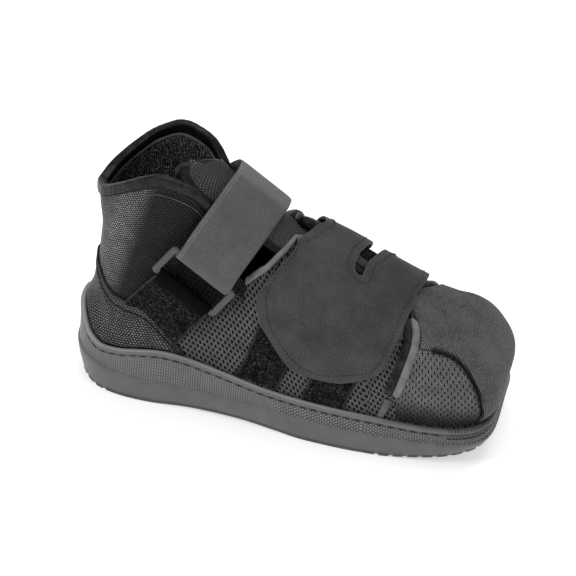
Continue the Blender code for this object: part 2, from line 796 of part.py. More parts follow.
def build_toe_cap(finish):
    place = np.unique(np.concatenate([[0.7475, 0.847, 0.8565, 0.861, 0.866], stations()[stations() > 0.76]]))
    low = np.maximum(smooth(TOE_CAP_EDGE, place)[0], rise_over_lip(place, 0.6 * MM))
    lay = LAY_GAP + 0.4 * MM * np.exp(-(((place - 0.857) / 0.02) ** 2))
    outer = [on_upper(place, low, lay + 0.5 * OVERLAY_WALL)]
    inner = [on_upper(place, low, lay)]
    for rise in WALL_ROWS[1:]:
        at = np.maximum(rise, low + 0.012)
        outer.append(on_upper(place, at, lay + OVERLAY_WALL))
        inner.append(on_upper(place, at, lay))
    rows = np.stack(outer + inner[::-1], axis=1)
    rows[-1, :, 1] = 0
    return mirrored_loft("toe_cap", rows, finish, closed=True, ended=True)


def build_toe_binding(finish):
    """A raised tape across the back of the toe box, from one side to the other."""
    rise = np.linspace(0.15, 1.0, 12)
    place = smooth(TOE_BINDING_LINE, rise)[0]
    point = on_upper(place, rise, 0.0)
    out = on_upper(place, rise, 1.0) - point
    along = np.gradient(point, axis=0)
    along[-1] = (0, 1, 0)
    along /= np.linalg.norm(along, axis=1, keepdims=True)
    across = np.cross(along, out)
    across /= np.linalg.norm(across, axis=1, keepdims=True)
    half = TOE_BINDING_WIDTH / 2
    profile = (
        (-half, LAY_GAP),
        (-half, LAY_GAP + 0.6 * TOE_BINDING_WALL),
        (-0.6 * half, LAY_GAP + TOE_BINDING_WALL),
        (0.6 * half, LAY_GAP + TOE_BINDING_WALL),
        (half, LAY_GAP + 0.6 * TOE_BINDING_WALL),
        (half, LAY_GAP),
    )
    rows = np.stack([point + across * a + out * b for a, b in profile], axis=1)
    rows[-1, :, 1] = 0
    return mirrored_loft("toe_binding", rows, finish, closed=True, ended=True)


def lay_quad(name, feet, tops, along, across, low, high, finish):
    """A strip on the upper between two edges, each given by place and rise at its foot and its top."""
    a = np.linspace(feet[0], tops[0], along)
    b = np.linspace(feet[1], tops[1], along)
    share = np.linspace(0, 1, across)[None, :, None]
    grid = a[:, None] * (1 - share) + b[:, None] * share
    outer = on_upper(grid[..., 0], grid[..., 1], high)
    inner = on_upper(grid[..., 0], grid[..., 1], low)
    return shell(name, outer, inner, finish)


def build_side_strips(finish):
    for number, row in enumerate(LOOP_STRIPS, 1):
        rear_foot, rear_top, rear_rise, front_foot, front_top, front_rise = row
        foot_rise = rise_over_lip(np.array([rear_foot, front_foot]), 0.6 * MM)
        lay_quad(
            f"loop_strip_{number}",
            ((rear_foot, foot_rise[0]), (front_foot, foot_rise[1])),
            ((rear_top, rear_rise), (front_top, front_rise)),
            6, 6, LAY_GAP, LAY_GAP + STRIP_WALL, finish,
        )


def build_binding_tab(finish):
    foot_rise = rise_over_lip(np.array([0.664, 0.677]), 0.6 * MM)
    lay_quad(
        "binding_tab",
        ((0.664, foot_rise[0]), (0.677, foot_rise[1])),
        ((0.677, 0.128), (0.692, 0.128)),
        4, 4, LAY_GAP, LAY_GAP + STRIP_WALL, finish,
    )


def build_flap(finish):
    """The forefoot flap: one sheet on the near side, which a slot splits into two straps on the far side."""
    measure = np.array([
        0.143, 0.150, 0.172, 0.215, 0.27, 0.34, 0.43, 0.52, 0.61, 0.70, 0.79, 0.85,
        0.900, 0.908, 0.925, 0.96, 1.0, 1.07, 1.17, 1.29, 1.42, 1.56, 1.70, 1.82, 1.93,
    ])
    rear, front = smooth(FLAP_EDGES, measure)
    slot_rear, slot_front = smooth(FLAP_SLOT, measure)
    before = measure <= FLAP_SLOT[0][0]
    tip = FLAP_SLOT[0][1]
    tip_row = np.searchsorted(measure, FLAP_SLOT[0][0])
    tip_share = (tip - rear[tip_row]) / (front[tip_row] - rear[tip_row])
    slot_rear = np.where(before, rear + tip_share * (front - rear), slot_rear)
    slot_front = np.where(before, slot_rear, slot_front)
    shares = np.linspace(0, 1, 6)
    rear_part = rear[:, None] + shares * (slot_rear - rear)[:, None]
    front_part = slot_front[:, None] + shares * (front - slot_front)[:, None]
    place = np.concatenate([rear_part, front_part], axis=1)
    rise = np.where(measure <= 1, measure, 2 - measure)[:, None]
    over_strips = STRIP_WALL + LAY_GAP + 1.2 * MM * np.clip((measure[:, None] - 0.2) / 0.4, 0, 1)
    over_strips = over_strips * np.clip((1.93 - measure[:, None]) / 0.5, 0, 1)
    lift = LAY_GAP + over_strips
    inner = on_upper(place, rise, lift)
    outer = on_upper(place, rise, lift + FLAP_WALL)
    side = np.where(measure > 1, -1, 1)[:, None]
    outer[..., 1] *= side
    inner[..., 1] *= side
    keep = np.ones((len(measure) - 1, place.shape[1] - 1), bool)
    keep[tip_row:, 5] = False
    return shell("forefoot_flap", outer, inner, finish, keep)


def ring_axes():
    """The ring's middle, and its directions along the ring and up the strap."""
    slope = math.radians(RING_SLOPE)
    along = np.array([math.cos(slope), 0, -math.sin(slope)])
    up = np.array([math.sin(slope), 0, math.cos(slope)])
    x, y, z = upper_point(RING_PLACE, RING_RISE)
    middle = np.array([x, y - RING_STAND_OFF, z])
    return middle, along, up


def build_ring(finish):
    """A flat rectangular ring with rounded corners, in the plane of the boot's side."""
    middle, along, up = ring_axes()
    out = np.array([0.0, -1.0, 0.0])
    rim = []
    corner = RING_CORNER
    for cx, cy, start in (
        (1, 1, 0), (-1, 1, 90), (-1, -1, 180), (1, -1, 270),
    ):
        for step in range(4):
            turn = math.radians(start + 30 * step)
            rim.append((cx, cy, math.cos(turn), math.sin(turn)))
    section = []
    flat_half, full_half = 0.32 * RING_THICKNESS, 0.5 * RING_THICKNESS
    for share, height in ((0.0, -flat_half), (0.18, -full_half), (0.82, -full_half), (1.0, -flat_half)):
        section.append((share * RING_BAR, height))
    section += [(inset, -height) for inset, height in reversed(section)]
    points = []
    for cx, cy, c, s in rim:
        for inset, height in section:
            reach = max(corner - inset, 0.6 * MM) if inset < corner else 0.6 * MM
            base_x = RING_LENGTH / 2 - max(corner, inset + 0.6 * MM)
            base_y = RING_HEIGHT / 2 - max(corner, inset + 0.6 * MM)
            a = cx * base_x + c * reach
            b = cy * base_y + s * reach
            points.append(middle + along * a + up * b + out * height)
    count = len(section)
    around = len(rim)
    faces = []
    for i in range(around):
        j = (i + 1) % around
        for k in range(count):
            m = (k + 1) % count
            faces.append([i * count + k, j * count + k, j * count + m, i * count + m])
    return solid_from_faces("ring", points, faces, finish)


def ribbon(path, thickness):
    """Offsets a polyline of 2-D points to both sides and closes it: the section of a folded strap."""
    path = np.asarray(path, float)
    along = np.gradient(path, axis=0)
    along /= np.linalg.norm(along, axis=1, keepdims=True)
    side = np.stack([-along[:, 1], along[:, 0]], axis=1)
    return np.concatenate([path + side * thickness / 2, (path - side * thickness / 2)[::-1]])


def build_ankle_strap(finish):
    """Webbing from the ring over the instep to the far side, with its end folded over the ring's upper bar."""
    middle, along, up = ring_axes()
    bar = RING_HEIGHT / 2 - RING_BAR / 2
    wrap = RING_BAR / 2 + GAP + STRAP_WALL / 2
    share = np.linspace(0, 1, 34)
    across, reach, skew = smooth(ANKLE_STRAP_PATH, share)
    climb = SHAFT_HEIGHT - middle[2]
    layer = np.stack([across * abs(middle[1]), reach * climb], axis=1)
    thick = RING_THICKNESS / 2 + GAP + STRAP_WALL / 2
    front = middle[1] - thick
    back = middle[1] + thick
    low = bar - wrap
    fold = [
        (back, bar + 3.5 * MM),
        (back, bar + 0.5 * MM),
        (back - 0.15 * thick, low + 0.9 * MM),
        (back - 0.6 * thick, low + 0.1 * MM),
        (middle[1], low),
        (front + 0.6 * thick, low + 0.1 * MM),
        (front + 0.15 * thick, low + 0.9 * MM),
        (front, bar + 0.5 * MM),
    ]
    tail = layer[share > 0.075]
    path = np.concatenate([fold, [(front + 0.4 * MM, bar + 4 * MM)], tail])
    skews = np.concatenate([np.zeros(len(fold) + 1), (skew * RING_LENGTH)[share > 0.075]])
    section = ribbon(path, STRAP_WALL)
    skews = np.concatenate([skews, skews[::-1]])
    grid = []
    for place in np.linspace(-0.5, 0.5, 4):
        shift = place * ANKLE_STRAP_WIDTH + skews
        points = np.zeros((len(section), 3))
        points += (middle[0], 0, middle[2])
        points += along * shift[:, None]
        points += up * section[:, 1:2]
        points[:, 1] = section[:, 0]
        grid.append(points)
    return close_loft("ankle_strap", np.array(grid), finish)


def close_loft(name, rows, finish):
    """Joins closed sections one after another, with a flat end at each side."""
    stations_count, count = rows.shape[:2]
    faces = []
    half = count // 2
    for first, turned in ((0, False), ((stations_count - 1) * count, True)):
        for k in range(half - 1):
            quad = [first + k, first + k + 1, first + count - 2 - k, first + count - 1 - k]
            faces.append(quad[::-1] if turned else quad)
    for i in range(stations_count - 1):
        for k in range(count):
            m = (k + 1) % count
            faces.append([i * count + k, i * count + m, (i + 1) * count + m, (i + 1) * count + k])
    return solid_from_faces(name, rows.reshape(-1, 3), faces, finish)


def build_ankle_loop(finish):
    """The loop strap from under the counter to the ring, folded round the ring's lower bar."""
    middle, along, up = ring_axes()
    bar = -(RING_HEIGHT / 2 - RING_BAR / 2)
    thick = RING_THICKNESS / 2 + GAP + STRAP_WALL / 2
    wrap = RING_BAR / 2 + GAP + STRAP_WALL / 2
    front = middle[1] - thick
    back = middle[1] + thick
    high = bar + wrap
    edge_place = np.linspace(0.10, COUNTER_EDGE[-1][0], 60)
    edge = on_upper(edge_place, smooth(COUNTER_EDGE, edge_place)[0], LAY_GAP + STRAP_WALL / 2) - middle
    edge_along = edge @ along
    edge_up = edge @ up
    grid = []
    for place in np.linspace(-0.5, 0.5, 5):
        shift = place * ANKLE_STRAP_WIDTH
        foot = np.interp(shift, edge_along, edge_up) + 1.6 * MM
        foot_y = middle[1] + np.interp(shift, edge_along, edge[:, 1])
        near_ring = bar - 5.5 * MM
        path = [
            (foot_y, foot),
            (0.65 * foot_y + 0.35 * back, 0.65 * foot + 0.35 * near_ring),
            (0.3 * foot_y + 0.7 * back, 0.3 * foot + 0.7 * near_ring),
            (back, bar - 0.5 * MM),
            (back - 0.15 * thick, high - 0.9 * MM),
            (back - 0.6 * thick, high - 0.1 * MM),
            (middle[1], high),
            (front + 0.6 * thick, high - 0.1 * MM),
            (front + 0.15 * thick, high - 0.9 * MM),
            (front, bar - 0.5 * MM),
            (front, bar - 3.2 * MM),
            (0.3 * (foot_y - 2.0 * MM) + 0.7 * (back - 2.4 * MM), 0.3 * foot + 0.7 * near_ring),
            (0.65 * (foot_y - 2.0 * MM) + 0.35 * (back - 2.2 * MM), 0.65 * foot + 0.35 * near_ring),
            (foot_y - 1.9 * MM, foot + 2.5 * MM),
        ]
        section = ribbon(path, STRAP_WALL)
        points = np.zeros((len(section), 3))
        points += (middle[0], 0, middle[2])
        points += along * shift
        points += up * section[:, 1:2]
        points[:, 1] = section[:, 0]
        grid.append(points)
    return close_loft("ankle_loop", np.array(grid), finish)


def vamp_underside(x):
    """The highest that the tongue can lie: under the vamp's ridge, and under the throat's binding there."""
    place = np.linspace(THROAT[-1][0], 1, 200)
    ridge_x, _, ridge_z, _, _ = upper_edge(place)
    slope = np.gradient(ridge_z) / np.gradient(ridge_x)
    stretch = np.hypot(1, slope)
    binding_foot = ridge_x[0] + 1.2 * BINDING_DEPTH
    cover = np.where(ridge_x > binding_foot, UPPER_WALL + GAP, UPPER_WALL + BINDING_WALL + 3 * LAY_GAP)
    under = np.interp(x, ridge_x, ridge_z - cover * stretch)
    return np.where(x > ridge_x[0] - BINDING_DEPTH, under, SHAFT_HEIGHT)


def build_tongue(finish):
    """The padded tongue. Its front end lies under the vamp, where it is sewn in."""
    share = np.linspace(0, 1, 12)
    x, height, half, shift, twist = smooth(TONGUE_LINE, share)
    levels = (TOE_BOX_HEIGHT, INSTEP_HEIGHT, SHAFT_HEIGHT)
    x = x * LENGTH / 2
    half = half * COLLAR_WIDTH / 2
    shift = shift * COLLAR_WIDTH / 2
    z = np.minimum(np.interp(height, (0, 1, 2), levels), vamp_underside(x))
    dx, dz = np.gradient(x), np.gradient(z)
    size = np.hypot(dx, dz)
    out_x, out_z = -dz / size, dx / size
    out_x, out_z = np.where(out_z < 0, -out_x, out_x), np.abs(out_z)
    across = np.linspace(-1, 1, 9)
    outer = np.zeros((len(share), len(across), 3))
    inner = np.zeros_like(outer)
    for k, side in enumerate(across):
        drop = (0.34 * half) * abs(side) ** 2.2
        pad = TONGUE_WALL * (1 - 0.55 * abs(side) ** 3)
        px = x - out_x * drop + twist * half * side
        pz = z - out_z * drop - 0.42 * twist * half * side
        outer[:, k] = np.stack([px, shift + half * side, pz], axis=1)
        inner[:, k] = np.stack([px - out_x * pad, shift + half * side, pz - out_z * pad], axis=1)
    return shell("tongue", outer, inner, finish)


def clear_scene():
    for obj in list(bpy.data.objects):
        bpy.data.objects.remove(obj)


def main():
    clear_scene()
    rubber = material("outsole_rubber", (0.075, 0.075, 0.075), 0.75)
    foam = material("midsole_rubber", (0.11, 0.11, 0.11), 0.6)
    mesh_fabric = material("mesh_fabric", (0.03, 0.03, 0.032), 0.85)
    lining = material("insole_fabric", (0.02, 0.02, 0.02), 0.95)
    build_outsole(rubber)
    build_midsole(foam)
    build_insole(lining)
    build_upper(mesh_fabric)
    tape = material("binding_tape", (0.05, 0.05, 0.05), 0.6)
    knit = material("toe_knit", (0.02, 0.02, 0.02), 0.85)
    suede = material("flap_suede", (0.04, 0.04, 0.04), 0.7)
    velvet = material("loop_velvet", (0.008, 0.008, 0.008), 1.0)
    webbing = material("strap_webbing", (0.07, 0.07, 0.07), 0.7)
    plastic = material("ring_plastic", (0.06, 0.06, 0.06), 0.45)
    build_collar_binding(tape)
    build_throat_binding(tape)
    build_heel_counter(mesh_fabric)
    build_toe_cap(knit)
    build_toe_binding(tape)
    build_binding_tab(tape)
    build_side_strips(velvet)
    build_flap(suede)
    build_ring(plastic)
    build_ankle_loop(velvet)
    build_ankle_strap(webbing)
    build_tongue(mesh_fabric)


main()
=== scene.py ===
"""The looks of a post-operative boot: dense surfaces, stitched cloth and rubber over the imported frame.

Lengths are in metres, +X runs to the toe, +Z is up, and the side that carries the ring is at -Y.
"""

import math

import bmesh
import bpy
import numpy as np
from mathutils import Matrix, Vector


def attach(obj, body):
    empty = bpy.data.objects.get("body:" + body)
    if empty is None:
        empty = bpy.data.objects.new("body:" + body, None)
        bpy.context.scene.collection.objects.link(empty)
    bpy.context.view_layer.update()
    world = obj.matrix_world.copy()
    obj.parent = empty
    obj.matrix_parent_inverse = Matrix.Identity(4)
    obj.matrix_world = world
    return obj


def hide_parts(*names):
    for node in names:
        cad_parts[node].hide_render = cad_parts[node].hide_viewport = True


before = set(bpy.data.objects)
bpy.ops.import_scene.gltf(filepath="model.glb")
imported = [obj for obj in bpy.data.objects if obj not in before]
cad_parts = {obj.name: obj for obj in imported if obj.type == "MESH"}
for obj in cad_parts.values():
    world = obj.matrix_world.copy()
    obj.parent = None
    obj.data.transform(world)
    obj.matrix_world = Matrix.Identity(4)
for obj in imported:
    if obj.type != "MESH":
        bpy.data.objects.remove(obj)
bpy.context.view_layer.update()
MM = 0.001
FAR = (1, -1, 1)

# Driving sizes, as in the frame
LENGTH = 300 * MM
BALL_WIDTH = 120.6 * MM
HEEL_WIDTH = 87.2 * MM
HEEL_ROUNDNESS = 2.48
TOE_SQUARENESS = 4.83
LIP_HEIGHT = 45.5 * MM
BAND_HEIGHT = 21 * MM
FLOOR_HEIGHT = 26 * MM
TOE_SPRING = 13.5 * MM
HEEL_BEVEL = 11 * MM
ARCH_LIFT = 3 * MM
LIP_WALL = 4.4 * MM
LIP_BEAD = 4.6 * MM
INSOLE_THICKNESS = 5 * MM
SHAFT_HEIGHT = 182 * MM
INSTEP_HEIGHT = 140 * MM
TOE_BOX_HEIGHT = 86 * MM
COLLAR_WIDTH = 76 * MM
TOE_BULGE = 4 * MM
UPPER_WALL = 3 * MM
OVERLAY_WALL = 1.3 * MM
BINDING_WALL = 1.4 * MM
BINDING_DEPTH = 6 * MM
TOE_BINDING_WIDTH = 5.5 * MM
TOE_BINDING_WALL = 1.8 * MM
FLAP_WALL = 2.4 * MM
STRIP_WALL = 1.2 * MM
STRAP_WALL = 1.5 * MM
ANKLE_STRAP_WIDTH = 44 * MM
TONGUE_WALL = 5 * MM
RING_LENGTH = 55 * MM
RING_HEIGHT = 27 * MM
RING_BAR = 4.9 * MM
RING_THICKNESS = 3.4 * MM
RING_CORNER = 3.4 * MM
RING_PLACE = 0.293
RING_RISE = 0.507
RING_STAND_OFF = 9.8 * MM
RING_SLOPE = 34.2
GAP = 0.3 * MM
LAY_GAP = 0.5 * MM
HEEL_ARC_END = -0.567
TOE_ARC_START = 0.40

# Columns: place along the outline, lip (share of LIP_HEIGHT), foot of the band (share of BAND_HEIGHT)
SOLE_LEVELS = (
    (0.00, 1.30, 1.40),
    (0.03, 1.27, 1.36),
    (0.06, 1.12, 1.28),
    (0.09, 0.92, 1.18),
    (0.12, 0.85, 1.11),
    (0.16, 0.89, 1.04),
    (0.20, 0.96, 1.01),
    (0.24, 1.00, 1.00),
    (0.28, 0.98, 1.00),
    (0.33, 0.92, 1.00),
    (0.39, 0.84, 1.01),
    (0.45, 0.775, 1.01),
    (0.51, 0.75, 1.00),
    (0.57, 0.742, 0.985),
    (0.63, 0.733, 0.97),
    (0.69, 0.71, 0.955),
    (0.75, 0.695, 0.97),
    (0.81, 0.70, 1.00),
    (0.86, 0.73, 1.06),
    (0.90, 0.77, 1.14),
    (0.94, 0.82, 1.24),
    (1.00, 0.88, 1.34),
)

# Columns: x (share of the half length), heel bevel, arch and toe spring (shares of their sizes)
GROUND_LINE = (
    (-1.00, 1.00, 0.0, 0.0),
    (-0.96, 0.50, 0.0, 0.0),
    (-0.91, 0.16, 0.0, 0.0),
    (-0.86, 0.00, 0.0, 0.0),
    (-0.60, 0.00, 0.0, 0.0),
    (-0.42, 0.00, 0.65, 0.0),
    (-0.18, 0.00, 1.00, 0.0),
    (0.00, 0.00, 0.50, 0.0),
    (0.12, 0.00, 0.0, 0.0),
    (0.48, 0.00, 0.0, 0.0),
    (0.62, 0.00, 0.0, 0.17),
    (0.78, 0.00, 0.0, 0.47),
    (0.90, 0.00, 0.0, 0.77),
    (1.00, 0.00, 0.0, 1.00),
)

# Columns: x (share of the half length), height (share of FLOOR_HEIGHT)
CUP_FLOOR = (
    (-1.00, 1.04),
    (-0.60, 1.00),
    (0.00, 0.80),
    (0.40, 0.70),
    (0.73, 0.75),
    (1.00, 0.98),
)

# Columns: place, x (share of the half length), half width (share of half COLLAR_WIDTH),
# height (share of SHAFT_HEIGHT), squareness of the wall, waist (depth, share of half COLLAR_WIDTH)
COLLAR_EDGE = (
    (0.000, -0.945, 0.00, 0.822, 1.00, 0.115),
    (0.050, -0.912, 0.41, 0.847, 1.00, 0.105),
    (0.100, -0.834, 0.73, 0.904, 1.00, 0.085),
    (0.155, -0.730, 0.94, 0.966, 1.00, 0.060),
    (0.210, -0.620, 1.00, 1.000, 1.00, 0.040),
    (0.265, -0.490, 0.92, 0.966, 1.08, 0.020),
    (0.310, -0.385, 0.73, 0.858, 1.18, 0.010),
    (0.331, -0.350, 0.70, 0.765, 1.22, 0.000),
    (0.356, -0.295, 0.73, 0.680, 1.25, 0.000),
    (0.3875, -0.220, 0.86, 0.600, 1.35, 0.000),
)

# Columns: place, x (share of the half length), half width (share of half COLLAR_WIDTH),
# rise from toe box to instep (share), squareness of the wall, bulge over the lip (share of TOE_BULGE)
VAMP_EDGE = (
    (0.425, -0.133, 0.84, 0.71, 1.70, 0.0),
    (0.465, -0.060, 0.45, 0.93, 1.90, 0.0),
    (0.500, -0.020, 0.00, 1.00, 2.00, 0.0),
    (0.550, 0.110, 0.00, 0.86, 2.10, 0.0),
    (0.610, 0.260, 0.00, 0.61, 2.25, 0.0),
    (0.670, 0.400, 0.00, 0.37, 2.40, 0.2),
    (0.730, 0.520, 0.00, 0.17, 2.60, 0.4),
    (0.790, 0.600, 0.00, 0.07, 2.80, 0.7),
    (0.840, 0.635, 0.00, 0.03, 2.85, 1.0),
    (0.890, 0.652, 0.00, 0.015, 2.70, 1.0),
    (0.940, 0.661, 0.00, 0.004, 2.50, 1.0),
    (1.000, 0.667, 0.00, 0.00, 2.40, 1.0),
)

# Columns: place, rise at which the wall ends along the throat
THROAT = (
    (0.3875, 1.000),
    (0.425, 0.858),
    (0.4625, 0.857),
    (0.500, 0.877),
    (0.5375, 0.918),
    (0.575, 1.000),
)

# Top edge of the heel counter. Columns: place, rise
COUNTER_EDGE = (
    (0.000, 0.445),
    (0.046, 0.432),
    (0.067, 0.424),
    (0.086, 0.410),
    (0.106, 0.395),
    (0.156, 0.362),
    (0.186, 0.345),
    (0.208, 0.319),
    (0.239, 0.246),
    (0.272, 0.148),
    (0.292, 0.070),
)

# Lower edge of the toe cap, where the crease runs. Columns: place, rise
TOE_CAP_EDGE = (
    (0.742, 0.560),
    (0.781, 0.585),
    (0.810, 0.573),
    (0.828, 0.535),
    (0.840, 0.466),
    (0.848, 0.377),
    (0.855, 0.272),
    (0.860, 0.151),
    (0.864, 0.000),
    (1.000, 0.000),
)

# Binding across the back of the toe box. Columns: rise, place
TOE_BINDING_LINE = (
    (0.150, 0.697),
    (0.280, 0.709),
    (0.421, 0.721),
    (0.560, 0.731),
    (0.686, 0.735),
    (0.780, 0.731),
    (0.860, 0.722),
    (0.930, 0.708),
    (1.000, 0.700),
)

# Columns: rise on the near side (0 to 1) or 2 less the rise on the far side (1 to 2), rear place, front place
FLAP_EDGES = (
    (0.143, 0.525, 0.553),
    (0.150, 0.508, 0.580),
    (0.172, 0.490, 0.607),
    (0.215, 0.474, 0.637),
    (0.300, 0.452, 0.668),
    (0.435, 0.430, 0.684),
    (0.580, 0.424, 0.697),
    (0.678, 0.432, 0.704),
    (0.720, 0.449, 0.707),
    (0.758, 0.470, 0.710),
    (0.800, 0.496, 0.714),
    (0.880, 0.515, 0.723),
    (1.000, 0.529, 0.735),
    (1.100, 0.534, 0.733),
    (1.400, 0.500, 0.715),
    (1.700, 0.450, 0.694),
    (1.930, 0.450, 0.678),
)

# Columns: same measure as above, rear place, front place of the slot
FLAP_SLOT = (
    (0.800, 0.605, 0.605),
    (0.808, 0.6005, 0.6100),
    (0.822, 0.5975, 0.6135),
    (0.845, 0.5965, 0.6155),
    (0.900, 0.5985, 0.6185),
    (1.000, 0.605, 0.626),
    (1.150, 0.607, 0.630),
    (1.400, 0.600, 0.628),
    (1.700, 0.560, 0.605),
    (1.930, 0.555, 0.600),
)

# Columns: share of the tongue's length, x (share of the half length), height (0 at the toe box, 1 at the
# instep, 2 at the shaft's top), half width and shift (shares of half COLLAR_WIDTH), twist
TONGUE_LINE = (
    (0.00, 0.307, 0.60, 0.63, 0.00, 0.00),
    (0.10, 0.220, 0.70, 0.63, 0.00, 0.00),
    (0.22, 0.093, 0.694, 0.63, 0.00, 0.00),
    (0.34, -0.053, 0.835, 0.553, 0.00, 0.05),
    (0.46, -0.173, 1.048, 0.553, 0.026, 0.15),
    (0.58, -0.273, 1.274, 0.59, 0.045, 0.30),
    (0.71, -0.360, 1.500, 0.64, 0.020, 0.50),
    (0.85, -0.420, 1.690, 0.60, 0.000, 0.64),
    (0.945, -0.445, 1.825, 0.49, 0.000, 0.60),
    (1.00, -0.452, 1.890, 0.38, 0.010, 0.52),
)

# Columns: share of the strap's length, place across the boot (share of the ring's distance from the middle
# plane), distance up the slope (share of the height from the ring to the shaft's top), skew (share of
# RING_LENGTH)
ANKLE_STRAP_PATH = (
    (0.00, -1.018, 0.097, 0.000),
    (0.06, -1.004, 0.221, -0.009),
    (0.13, -0.951, 0.387, -0.036),
    (0.21, -0.830, 0.564, -0.055),
    (0.30, -0.500, 0.718, -0.045),
    (0.39, -0.090, 0.823, -0.018),
    (0.45, 0.112, 0.859, 0.000),
    (0.50, 0.269, 0.865, 0.000),
    (0.55, 0.426, 0.829, 0.000),
    (0.62, 0.617, 0.725, 0.000),
    (0.70, 0.807, 0.573, 0.000),
    (0.78, 0.930, 0.401, 0.000),
    (0.88, 0.987, 0.180, 0.000),
    (1.00, 1.009, -0.166, 0.000),
)

# Columns: rear foot, rear top place, rear top rise, front foot, front top place, front top rise
LOOP_STRIPS = (
    (0.386, 0.440, 0.47, 0.466, 0.506, 0.28),
    (0.520, 0.556, 0.27, 0.598, 0.630, 0.28),
)

WAIST_PLACE = 0.62
BULGE_PLACE = 0.38
HEEL_TUCK = 3.6 * MM
COLLAR_END = 0.371
CAP_REAR = 0.7475
SIDE_PANEL_FRONT = 0.8635
SHAFT_FRONT = -0.078
LINING_MARK = 10


# Shapes of the last and the sole


def smooth(rows, at):
    """A monotone cubic through a table's first column, for each of its other columns, at the places given."""
    table = np.array(rows, float)
    xs = table[:, 0]
    at = np.clip(np.asarray(at, float), xs[0], xs[-1])
    k = np.clip(np.searchsorted(xs, at, side="right") - 1, 0, len(xs) - 2)
    step = np.diff(xs)
    t = (at - xs[k]) / step[k]
    found = []
    for column in table[:, 1:].T:
        slope = np.diff(column) / step
        tangent = np.zeros(len(xs))
        inner = slope[:-1] * slope[1:] > 0
        weight_a = 2 * step[1:] + step[:-1]
        weight_b = step[1:] + 2 * step[:-1]
        with np.errstate(divide="ignore", invalid="ignore"):
            mean = (weight_a + weight_b) / (weight_a / slope[:-1] + weight_b / slope[1:])
        tangent[1:-1] = np.where(inner, mean, 0)
        tangent[0] = slope[0]
        tangent[-1] = slope[-1]
        h = step[k]
        found.append(
            column[k] * (2 * t**3 - 3 * t**2 + 1)
            + column[k + 1] * (3 * t**2 - 2 * t**3)
            + tangent[k] * h * (t**3 - 2 * t**2 + t)
            + tangent[k + 1] * h * (t**3 - t**2)
        )
    return found


def ease(value, low, high):
    t = np.clip((value - low) / (high - low), 0, 1)
    return t * t * (3 - 2 * t)


def outline_at(u, inset):
    """Plan of the sole, from heel (u = 0) to toe (u = 3): x and half width, moved in by inset."""
    half = LENGTH / 2 - inset
    heel_half = HEEL_WIDTH / 2 - inset
    ball_half = BALL_WIDTH / 2 - inset
    heel_x = HEEL_ARC_END * LENGTH / 2
    toe_x = TOE_ARC_START * LENGTH / 2
    heel_turn = np.clip(u, 0, 1) * math.pi / 2
    toe_turn = np.clip(u - 2, 0, 1) * math.pi / 2
    along = np.clip(u - 1, 0, 1)
    flare = along * along * (3 - 2 * along)
    parts = [u < 1, u < 2]
    x = np.select(
        parts,
        [
            heel_x - (heel_x + half) * np.cos(heel_turn) ** (2 / HEEL_ROUNDNESS),
            heel_x + (toe_x - heel_x) * along,
        ],
        toe_x + (half - toe_x) * np.sin(toe_turn) ** (2 / TOE_SQUARENESS),
    )
    w = np.select(
        parts,
        [heel_half * np.sin(heel_turn) ** (2 / HEEL_ROUNDNESS), heel_half + (ball_half - heel_half) * flare],
        ball_half * np.clip(np.cos(toe_turn), 0, 1) ** (2 / TOE_SQUARENESS),
    )
    return x, np.where(w < 1e-7, 0, w)


U_STEPS = np.linspace(0, 3, 6001)
PLAN = outline_at(U_STEPS, 0)
PLAN_RUN = np.concatenate([[0], np.cumsum(np.hypot(np.diff(PLAN[0]), np.diff(PLAN[1])))])
HALF_PERIMETER = PLAN_RUN[-1]
PLACES = np.linspace(0, 1, 361)


def outline(place, inset):
    """Plan of the sole at a share of its half perimeter, from the heel (0) to the toe (1)."""
    return outline_at(np.interp(place, PLAN_RUN / HALF_PERIMETER, U_STEPS), inset)


def outward(place):
    far_x, far_w = outline(place, 0)
    near_x, near_w = outline(place, 5 * MM)
    x, w = far_x - near_x, far_w - near_w
    size = np.hypot(x, w)
    return x / size, w / size


def throat_top(place):
    inside = (place > THROAT[0][0]) & (place < THROAT[-1][0])
    return np.where(inside, np.interp(place, *np.transpose(THROAT)), 1.0)


def ground(x):
    bevel, arch, spring = smooth(GROUND_LINE, x / (LENGTH / 2))
    return bevel * HEEL_BEVEL + arch * ARCH_LIFT + spring * TOE_SPRING


def cup_floor(x):
    return smooth(CUP_FLOOR, x / (LENGTH / 2))[0] * FLOOR_HEIGHT


def lip_and_band(place):
    lip, band = smooth(SOLE_LEVELS, place)
    return lip * LIP_HEIGHT, band * BAND_HEIGHT


def upper_edge(place):
    """Where each wall line of the upper ends: x, half width, height, squareness and waist."""
    half_length, half_collar = LENGTH / 2, COLLAR_WIDTH / 2
    rows = []
    for at, x, w, z, square, waist in COLLAR_EDGE:
        rows.append((at, x * half_length, w * half_collar, z * SHAFT_HEIGHT, square, waist * half_collar))
    for at, x, w, rise, square, bulge in VAMP_EDGE:
        z = TOE_BOX_HEIGHT + rise * (INSTEP_HEIGHT - TOE_BOX_HEIGHT)
        rows.append((at, x * half_length, w * half_collar, z, square, -bulge * TOE_BULGE))
    return smooth(rows, place)


